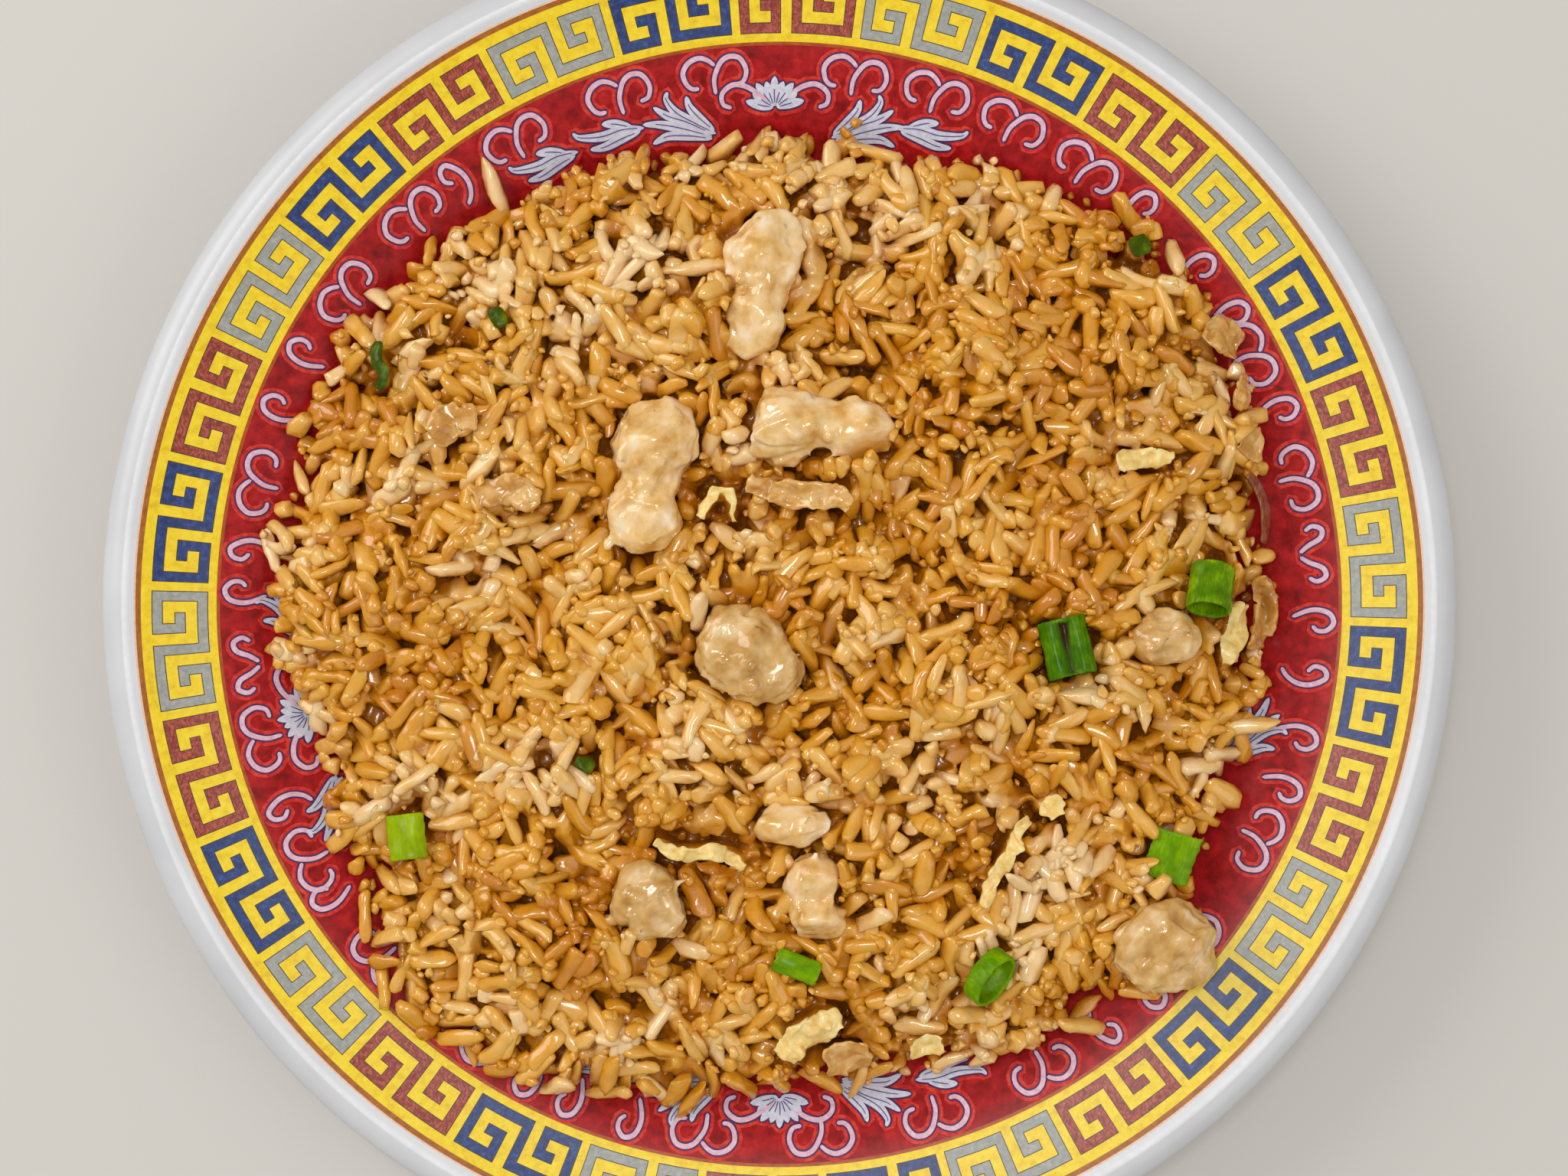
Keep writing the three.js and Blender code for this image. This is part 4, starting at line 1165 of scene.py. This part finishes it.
dark = node(tree, "ShaderNodeMapRange", {"Value": depth.outputs["Fac"], "From Min": 0.45, "To Max": 0.8})
shaded = node(tree, "ShaderNodeMix", {
    0: dark.outputs["Result"], 6: gold_shaded.outputs[2], 7: "#945006",
}, data_type="RGBA")
skin_noise = node(tree, "ShaderNodeTexNoise", {
    "Vector": place.outputs["Object"], "Scale": WRINKLES_PER_MM / MM, "Detail": 3.0,
})
relief = node(tree, "ShaderNodeBump", {
    "Height": skin_noise.outputs["Fac"], "Strength": 0.3, "Distance": 0.3 * MM,
})
shine = node(tree, "ShaderNodeMapRange", {"Value": stain.outputs["Fac"], "To Min": 0.2, "To Max": 0.4})
grain_skin = node(tree, "ShaderNodeBsdfPrincipled", {
    "Base Color": shaded.outputs[2], "Roughness": shine.outputs["Result"], "IOR": 1.42,
    "Subsurface Weight": 0.25, "Subsurface Radius": (1.0, 0.95, 0.85), "Subsurface Scale": 1.0 * MM,
    "Coat Weight": 1.0, "Coat Roughness": 0.1, "Normal": relief.outputs["Normal"],
})
node(tree, "ShaderNodeOutputMaterial", {"Surface": grain_skin.outputs[0]})

# Painted shade: the deeper a point lies under the heap's surface, the darker it is painted, gold and then
# dark brown
DEPTH_REACH = 6.0
DEPTH_START = 0.34
# Painted light: points that face upwards are made paler
PAINTED_TOP_LIGHT = 0.16
LEVEL_FACING = 0.6


def outward(points, faces):
    """The direction that each point of a skin faces."""
    a, b, c = points[faces[:, 0]], points[faces[:, 1]], points[faces[:, 2]]
    across = np.cross(b - a, c - a)
    normals = np.zeros_like(points)
    for corner in range(3):
        np.add.at(normals, faces[:, corner], across)
    return normals / np.maximum(np.linalg.norm(normals, axis=1, keepdims=True), 1e-9)


def finish_rice(piece, points, faces, tones):
    """Gives a piece of rice its tones with painted light on top, its depths for painted shade, its material
    and its place on the plate.
    """
    # Painted shade: how far each point lies under the heap's envelope
    envelope_here = grid_value(envelope, points[:, 0], points[:, 1])
    sunk = np.clip((envelope_here - points[:, 2]) / DEPTH_REACH - DEPTH_START, 0, 1)
    # Painted light: a paler tone where the skin faces up
    tones = tones + PAINTED_TOP_LIGHT * (outward(points, faces)[:, 2] - LEVEL_FACING)
    for name, values in (("tone", tones), ("depth", sunk)):
        held = piece.data.attributes.new(name, "FLOAT", "POINT")
        held.data.foreach_set("value", values.astype(np.float32))
    piece.data.materials.append(cooked_rice)
    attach(piece, "root")
    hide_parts("rice")


BEAD_STEP = 0.66
FILLET_START = 1.76
FILLET_SPAN = 2.2
FILLET_TONE = 0.25
everything = [item + (kind,) for kind in ("whole", "short", "lump") for item in laid[kind]]
beads = KDTree(3 * len(everything))
for number, (form, spot, turn, tone, kind) in enumerate(everything):
    reach = half_sizes[kind][form][0] * BEAD_STEP
    for step in (-1, 0, 1):
        beads.insert(np.array(spot) + step * reach * turn[:, 0], number)
beads.balance()
for band, (points, faces) in enumerate(mass_parts):
    dents = [value_noise(points + 50 * axis, MASS_DENT_SPAN, 60 + axis) for axis in range(3)]
    points = points + MASS_DENT * np.stack(dents, axis=-1)
    nearest = [beads.find(point) for point in points]
    tones = np.array([everything[found[1]][3] for found in nearest])
    gaps = np.array([found[2] for found in nearest])
    between = np.clip((gaps - FILLET_START) / FILLET_SPAN, 0, 1)
    piece = mesh_object(f"rice_mass_{band + 1}", points, faces)
    finish_rice(piece, points, faces, tones * (1 - between) + FILLET_TONE * between)

# Rice: loose grains and crumbs on top
# The last grains lie free on the heap, whole or broken, with crumbs of rice between them.
for kind, name in (("whole", "loose_grains"), ("short", "loose_broken_grains"), ("crumb", "rice_crumbs")):
    items = [item for number, item in enumerate(laid[kind]) if kind == "crumb" or loose[kind][number]]
    parts = [(forms[kind][form][0] @ turn.T + spot, forms[kind][form][1]) for form, spot, turn, _ in items]
    points, faces = joined(parts)
    tones = [np.full(len(body), item[3]) for (body, _), item in zip(parts, items)]
    piece = mesh_object(name, points, faces)
    finish_rice(piece, points, faces, np.concatenate(tones))

# Toppings: chicken
# Boiled chicken is torn by hand into knobs and flakes and fried with the rice, so it is pale, moist
# and stringy along its muscle fibres, and stained golden where it lies in the rice, with painted shade there
# too.
CHICKEN_VOXEL = 0.55
CHICKEN_FIBRES = {1: 75, 2: 10, 3: 60, 4: 35, 5: 50, 6: 25, 7: 80, 8: 0, 9: 15}
CHICKEN_STRANDS = {1: 18, 2: 14, 3: 16, 4: 10, 5: 2, 6: 12, 7: 10, 8: 8, 9: 8}
CHICKEN_FACETS = 6
WAIST_FILL = np.array([0.28, 0.34])
STRAND_LENGTHS = (1.4, 2.6)
STRAND_WIDTHS = (0.45, 0.8)
STRAND_DEPTH = 0.6
STRAND_SPREAD = 0.25
STRAND_TILT = 0.2
STRAND_SINK = 0.2
LOBE_SIZES = (0.9, 2.1)
LOBE_SPREAD = 1.5
LOBE_SINK = 0.4
# Soy stain and painted shade grow as a topping lies deeper below the rice's surface
STAIN_AND_SHADE_REACH = 2.5
STAIN_AND_SHADE_START = 0.35
STRAND_FACING = 0.1
FACET_REACH = (0.76, 0.95)


def along_fibre(points, turn):
    """Points in a frame of their own: along the fibre, across it in plan, and up."""
    angle = math.radians(turn)
    middle = points.mean(axis=0)
    moved = points - middle
    along = moved[:, 0] * math.cos(angle) + moved[:, 1] * math.sin(angle)
    across = moved[:, 1] * math.cos(angle) - moved[:, 0] * math.sin(angle)
    return np.stack([along, across, moved[:, 2]], axis=-1)


def node_form(name, voxel, smoothings, strands=0, turn=0.0):
    """The CAD node's own form as one fine even skin, with small lobes and strands torn out of it."""
    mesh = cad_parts[name].data
    mesh.calc_loop_triangles()
    points = np.array([vertex.co[:] for vertex in mesh.vertices]) / MM
    faces = np.array([triangle.vertices[:] for triangle in mesh.loop_triangles])
    parts = [(points, faces)]
    facings = outward(points, faces)
    upper = np.flatnonzero(facings[:, 2] > STRAND_FACING)
    if strands:
        # A fuller middle, where two lobes of the meat run together
        middle = 0.5 * (points.min(axis=0) + points.max(axis=0))
        _, along = np.linalg.eigh(np.cov((points - middle)[:, :2].T))
        lengths = np.ptp((points - middle)[:, :2] @ along[:, ::-1], axis=0)
        waist = ball_points * [*(lengths * WAIST_FILL), np.ptp(points[:, 2]) * WAIST_FILL[1]]
        waist[:, :2] = waist[:, :2] @ along[:, ::-1].T
        parts.append((waist + middle, ball_faces))
    for number in range(strands):
        at = upper[random.integers(0, len(upper))]
        long = number % 3 > 0
        size = random.uniform(*LOBE_SIZES, 3) if not long else [
            random.uniform(*STRAND_LENGTHS), random.uniform(*STRAND_WIDTHS), STRAND_DEPTH,
        ]
        yaw = math.radians(turn) + random.normal(0, STRAND_SPREAD if long else LOBE_SPREAD)
        body = ball_points * size @ turn_matrix(yaw, random.normal(0, STRAND_TILT), 0.0).T
        sink = STRAND_SINK if long else LOBE_SINK
        parts.append((body + points[at] - facings[at] * sink * np.min(size), ball_faces))
    return merged_form(*joined(parts), voxel, smoothings)


def dress(name, node_name, points, faces, turn, material, stain_and_shade=0):
    """Makes the piece that stands for a topping, with its fibre frame and its depth in the rice, which sets
    its soy stain and painted shade.
    """
    piece = mesh_object(name, points, faces)
    fibre = piece.data.attributes.new("fibre", "FLOAT_VECTOR", "POINT")
    fibre.data.foreach_set("vector", along_fibre(points, turn).astype(np.float32).ravel())
    # Soy stain and painted shade: how far each point lies below the rice, plus any extra stain and shade
    below = grid_value(height_round, points[:, 0], points[:, 1]) - points[:, 2]
    sunk = np.clip(below / STAIN_AND_SHADE_REACH + STAIN_AND_SHADE_START + stain_and_shade, 0, 1)
    depth = piece.data.attributes.new("depth", "FLOAT", "POINT")
    depth.data.foreach_set("value", sunk.astype(np.float32))
    piece.data.materials.append(material)
    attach(piece, "root")
    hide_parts(node_name)
    return piece


def moist_food(name, flesh, stain, span, vein_width=1.0, vein_share=0.4, clear=0.3, rough=0.3,
               relief=0.4, wet=0.4, gloss=0.5):
    """Cooked food seen close: cloudy flesh with veins along its fibre, with soy stain and painted shade where
    it lies deep.
    """
    made, tree = new_material(name)
    fibre = node(tree, "ShaderNodeAttribute", attribute_name="fibre")
    depth = node(tree, "ShaderNodeAttribute", attribute_name="depth")
    cloud = node(tree, "ShaderNodeTexNoise", {
        "Vector": fibre.outputs["Vector"], "Scale": 1 / span, "Detail": 4.0,
    })
    drawn = node(tree, "ShaderNodeMapping", {
        "Vector": fibre.outputs["Vector"], "Scale": (0.12 / vein_width, 1 / vein_width, 0.6 / vein_width),
    })
    veins = node(tree, "ShaderNodeTexNoise", {
        "Vector": drawn.outputs["Vector"], "Scale": 1.0, "Detail": 3.0,
    })
    mixed = node(tree, "ShaderNodeMix", {
        0: vein_share, 2: cloud.outputs["Fac"], 3: veins.outputs["Fac"],
    })
    shade = node(tree, "ShaderNodeValToRGB", {"Fac": mixed.outputs[0]}, stops=flesh)
    # Soy stain and painted shade: the deep colour is mixed in by the depth attribute
    stained = node(tree, "ShaderNodeMix", {
        0: depth.outputs["Fac"], 6: shade.outputs["Color"], 7: stain,
    }, data_type="RGBA")
    bumps = node(tree, "ShaderNodeBump", {
        "Height": mixed.outputs[0], "Strength": relief, "Distance": 0.6 * MM,
    })
    skin = node(tree, "ShaderNodeBsdfPrincipled", {
        "Base Color": stained.outputs[2], "Roughness": rough, "IOR": 1.42, "Specular IOR Level": gloss,
        "Subsurface Weight": clear, "Subsurface Radius": (1.0, 0.72, 0.45),
        "Subsurface Scale": 1.6 * MM, "Coat Weight": wet, "Coat Roughness": 0.12,
        "Normal": bumps.outputs["Normal"],
    })
    node(tree, "ShaderNodeOutputMaterial", {"Surface": skin.outputs[0]})
    return made


height_round = blurred(np.where(covered, surface, height), SMOOTHING)

# Boiled and torn muscle: cloudy, moist flesh that lets some light in, golden where soy sauce soaked in, and
# with painted shade where it lies in the rice
chicken_skins = {
    "pale": moist_food("torn_boiled_chicken", [
        (0.3, "#cc9038"), (0.42, "#e2b469"), (0.54, "#efca8e"), (0.68, "#fae0bc"),
    ], "#c98a2c", 4.2, vein_width=1.0, vein_share=0.13, clear=0.4, rough=0.22, relief=0.6, wet=0.9),
    "stained": moist_food("soy_stained_chicken", [
        (0.3, "#b27a2a"), (0.42, "#cb9c50"), (0.54, "#dab06e"), (0.68, "#efd0a0"),
    ], "#b87c2c", 4.2, vein_width=1.0, vein_share=0.13, clear=0.4, rough=0.2, relief=0.85, wet=1.0),
}
PALE_CHICKEN = (1, 2, 3, 7, 9)
WRINKLED_CHICKEN = (4,)
SOY_STAINS = {8: 0.35, 5: 0.1}
WRINKLES = (0.09, 0.24)
# Painted shade in the cracks torn into the chicken
CRACK_SHADE = 0.5
KNOB_SPAN = 5.5
KNOB_RELIEF = 0.8
LOBE_SPAN = 2.6
LOBE_RELIEF = 0.45
FLAKE_SPAN = 3.6
FLAKE_RELIEF = 0.2
GRIT_SPAN = 0.9
CRACK_SPAN = 5.0
CRACK_PATCH = 4.0
CRACK_RELIEF = 0.7
for number, turn in CHICKEN_FIBRES.items():
    name = f"chicken_{number}"
    points, faces = node_form(name, CHICKEN_VOXEL, 2, CHICKEN_STRANDS[number], turn)
    fibre = along_fibre(points, turn)
    middle = points.mean(axis=0)
    points = points - middle
    for _ in range(CHICKEN_FACETS):
        facing = random.normal(0, 1, 3) * [1, 1, 0.8] + [0, 0, 0.9]
        facing /= np.linalg.norm(facing)
        points = cut_flat(points, facing, np.max(points @ facing) * random.uniform(*FACET_REACH))
    points = points + middle
    knobs = value_noise(fibre, KNOB_SPAN, 80 + number)
    lobes = value_noise(fibre, LOBE_SPAN, 85 + number)
    flakes = 1 - 2 * np.abs(value_noise(fibre * [0.5, 1, 0.8], FLAKE_SPAN, 90 + number))
    grit = value_noise(fibre, GRIT_SPAN, 99 + number)
    cracks = np.clip(1 - 9 * np.abs(value_noise(fibre * [0.35, 1, 1], CRACK_SPAN, 95 + number)), 0, 1)
    cracks = cracks * np.clip(2.5 * value_noise(fibre, CRACK_PATCH, 75 + number), 0, 1)
    wrinkle = WRINKLES[number in WRINKLED_CHICKEN]
    push = KNOB_RELIEF * knobs + LOBE_RELIEF * lobes + FLAKE_RELIEF * flakes
    push = push + wrinkle * grit - CRACK_RELIEF * cracks
    points = points + outward(points, faces) * push[:, None]
    skin = chicken_skins["pale" if number in PALE_CHICKEN else "stained"]
    # Real soy stain on some pieces, and painted shade in their cracks
    stain_and_shade = SOY_STAINS.get(number, 0.0) + CRACK_SHADE * cracks
    dress(f"torn_chicken_{number}", name, points, faces, turn, skin, stain_and_shade)

# Toppings: scallion
# Green scallion leaf is a hollow tube with fine veins along it, cut across in short lengths that stay
# round, fold flat or split open in the pan.
SCALLION_VOXEL = 0.36
SCALLION_TURNS = {1: 80, 2: 102, 3: 97, 4: 72, 5: -22, 6: -36}

# Cut leaf: a dull green skin with fine ribs, darker or paler with its age, and darkened with painted shade
# where it lies in the rice
scallion_greens = {
    "leaf": [(0.3, "#4c7600"), (0.5, "#6a9600"), (0.7, "#8cb400")],
    "dark": [(0.3, "#263600"), (0.5, "#425400"), (0.7, "#707c08")],
    "pale": [(0.3, "#768e00"), (0.5, "#8ea800"), (0.7, "#a8bc0a")],
    "barrel": [(0.3, "#3e6200"), (0.5, "#5c8400"), (0.7, "#90b40a")],
    "folded": [(0.3, "#2c4e00"), (0.5, "#427000"), (0.7, "#689408")],
}
scallion_skins = {
    key: moist_food(
        f"{key}_scallion_leaf", stops, "#331c0a" if key == "folded" else "#3c4a10", 3.0, vein_width=0.35,
        vein_share=0.35, clear=0.1, rough=0.25, relief=0.25, wet=0.06, gloss=0.1,
    )
    for key, stops in scallion_greens.items()
}
SCALLION_KINDS = {1: "barrel", 2: "folded", 3: "pale", 4: "leaf", 5: "leaf", 6: "leaf"}
SLIT_WIDTH = 1.2
SLIT_REACH = 4.8
SLIT_DEPTH = 1.3
# How strongly the slit is painted with dark shade
SLIT_SHADE = 2.4
for number, turn in SCALLION_TURNS.items():
    name = f"scallion_{number}"
    points, faces = node_form(name, SCALLION_VOXEL, 2)
    fibre = along_fibre(points, turn)
    ribs = value_noise(fibre * [0.08, 1, 1], 0.8, 110 + number)
    crumple = value_noise(fibre, 3.4, 120 + number)
    points = points + outward(points, faces) * (0.08 * ribs)[:, None]
    points = points + crumple[:, None] * [0.15, 0.15, 0.3]
    # The folded piece has a slit down its middle, where its two edges meet, pressed in and painted dark as
    # shade
    folded = SCALLION_KINDS[number] == "folded"
    in_slit = (np.abs(fibre[:, 0]) < SLIT_REACH) & (fibre[:, 2] > 0)
    slit = folded * in_slit * np.exp(-(fibre[:, 1] / SLIT_WIDTH) ** 2)
    points[:, 2] -= SLIT_DEPTH * slit
    skin = scallion_skins[SCALLION_KINDS[number]]
    dress(f"cut_scallion_{number}", name, points, faces, turn, skin, SLIT_SHADE * slit)

# Toppings: leaf scraps, egg, onion, cabbage
# Thin soft things that lie wrinkled in the rice: scraps of leaf, shreds of a thin omelette, and onion
# and cabbage fried until they are clear and tan.
SHEET_VOXEL = 0.38

# Egg set in a thin film: matt and pale yellow, with a fine crumb. Onion and cabbage fried soft: clear,
# tan and oily. The strip of onion is browned by soy sauce, dark red-brown with paler ribs.
# Where each lies down in the rice it takes its last colour: soy stain and painted shade
omelette = moist_food(
    "thin_omelette", [(0.3, "#dca94a"), (0.5, "#f0cd7c"), (0.7, "#f8e2a4")], "#cf9238", 1.8,
    vein_share=0.15, clear=0.3, rough=0.45, relief=0.55,
)
soft_onion = moist_food(
    "soft_fried_onion", [(0.35, "#b97c26"), (0.5, "#d29c48"), (0.65, "#e6bd7a")], "#b07420", 3.0,
    vein_width=0.6, vein_share=0.25, clear=0.7, rough=0.2, relief=0.2, wet=0.9,
)
soy_onion = moist_food(
    "soy_browned_onion", [(0.3, "#4a2210"), (0.5, "#8a4a22"), (0.7, "#b06a34")], "#5a2c10", 2.4,
    vein_width=0.5, vein_share=0.5, clear=0.3, rough=0.25, relief=0.35,
)
SHEET_SEED = 200
RUFFLE = 0.22
RUFFLE_SPAN = 1.2
SWAY_SPAN = 3.2
RAG_SPAN = 1.5
SHEETS = [
    ("leaf_bit", "leaf_scrap", 4, scallion_skins["dark"], "scallion_leaf", 0.3),
    ("egg", "egg_shred", 8, omelette, "cooked_egg", 1.0),
    ("onion", "onion_piece", 7, soft_onion, "cooked_onion", 1.2),
    ("cabbage", "cabbage_piece", 1, soft_onion, "cooked_onion", 1.1),
    ("brown_strip", "browned_onion_strip", 0, soy_onion, "browned_strip", 0.15),
]
for kind, (node_stem, piece_stem, count, skin, slot, wave) in enumerate(SHEETS):
    for number in range(1, max(count, 1) + 1):
        name = f"{node_stem}_{number}" if count else node_stem
        piece_name = f"{piece_stem}_{number}" if count else piece_stem
        low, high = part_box(name)
        turn = math.degrees(math.atan2(high.y - low.y, high.x - low.x))
        points, faces = node_form(name, SHEET_VOXEL, 2)
        seed = SHEET_SEED + 20 * kind + number
        sway = np.stack([value_noise(points + 30 * axis, SWAY_SPAN, seed) for axis in range(3)], axis=-1)
        rags = np.stack([value_noise(points + 30 * axis, RAG_SPAN, seed + 3) for axis in range(3)], axis=-1)
        ruffle = value_noise(points, RUFFLE_SPAN, seed + 7)
        points = points + wave * sway * [0.8, 0.8, 1] + wave * rags * [0.5, 0.5, 0.2]
        points = points + outward(points, faces) * (RUFFLE * wave * ruffle)[:, None]
        dress(piece_name, name, points, faces, turn, skin)
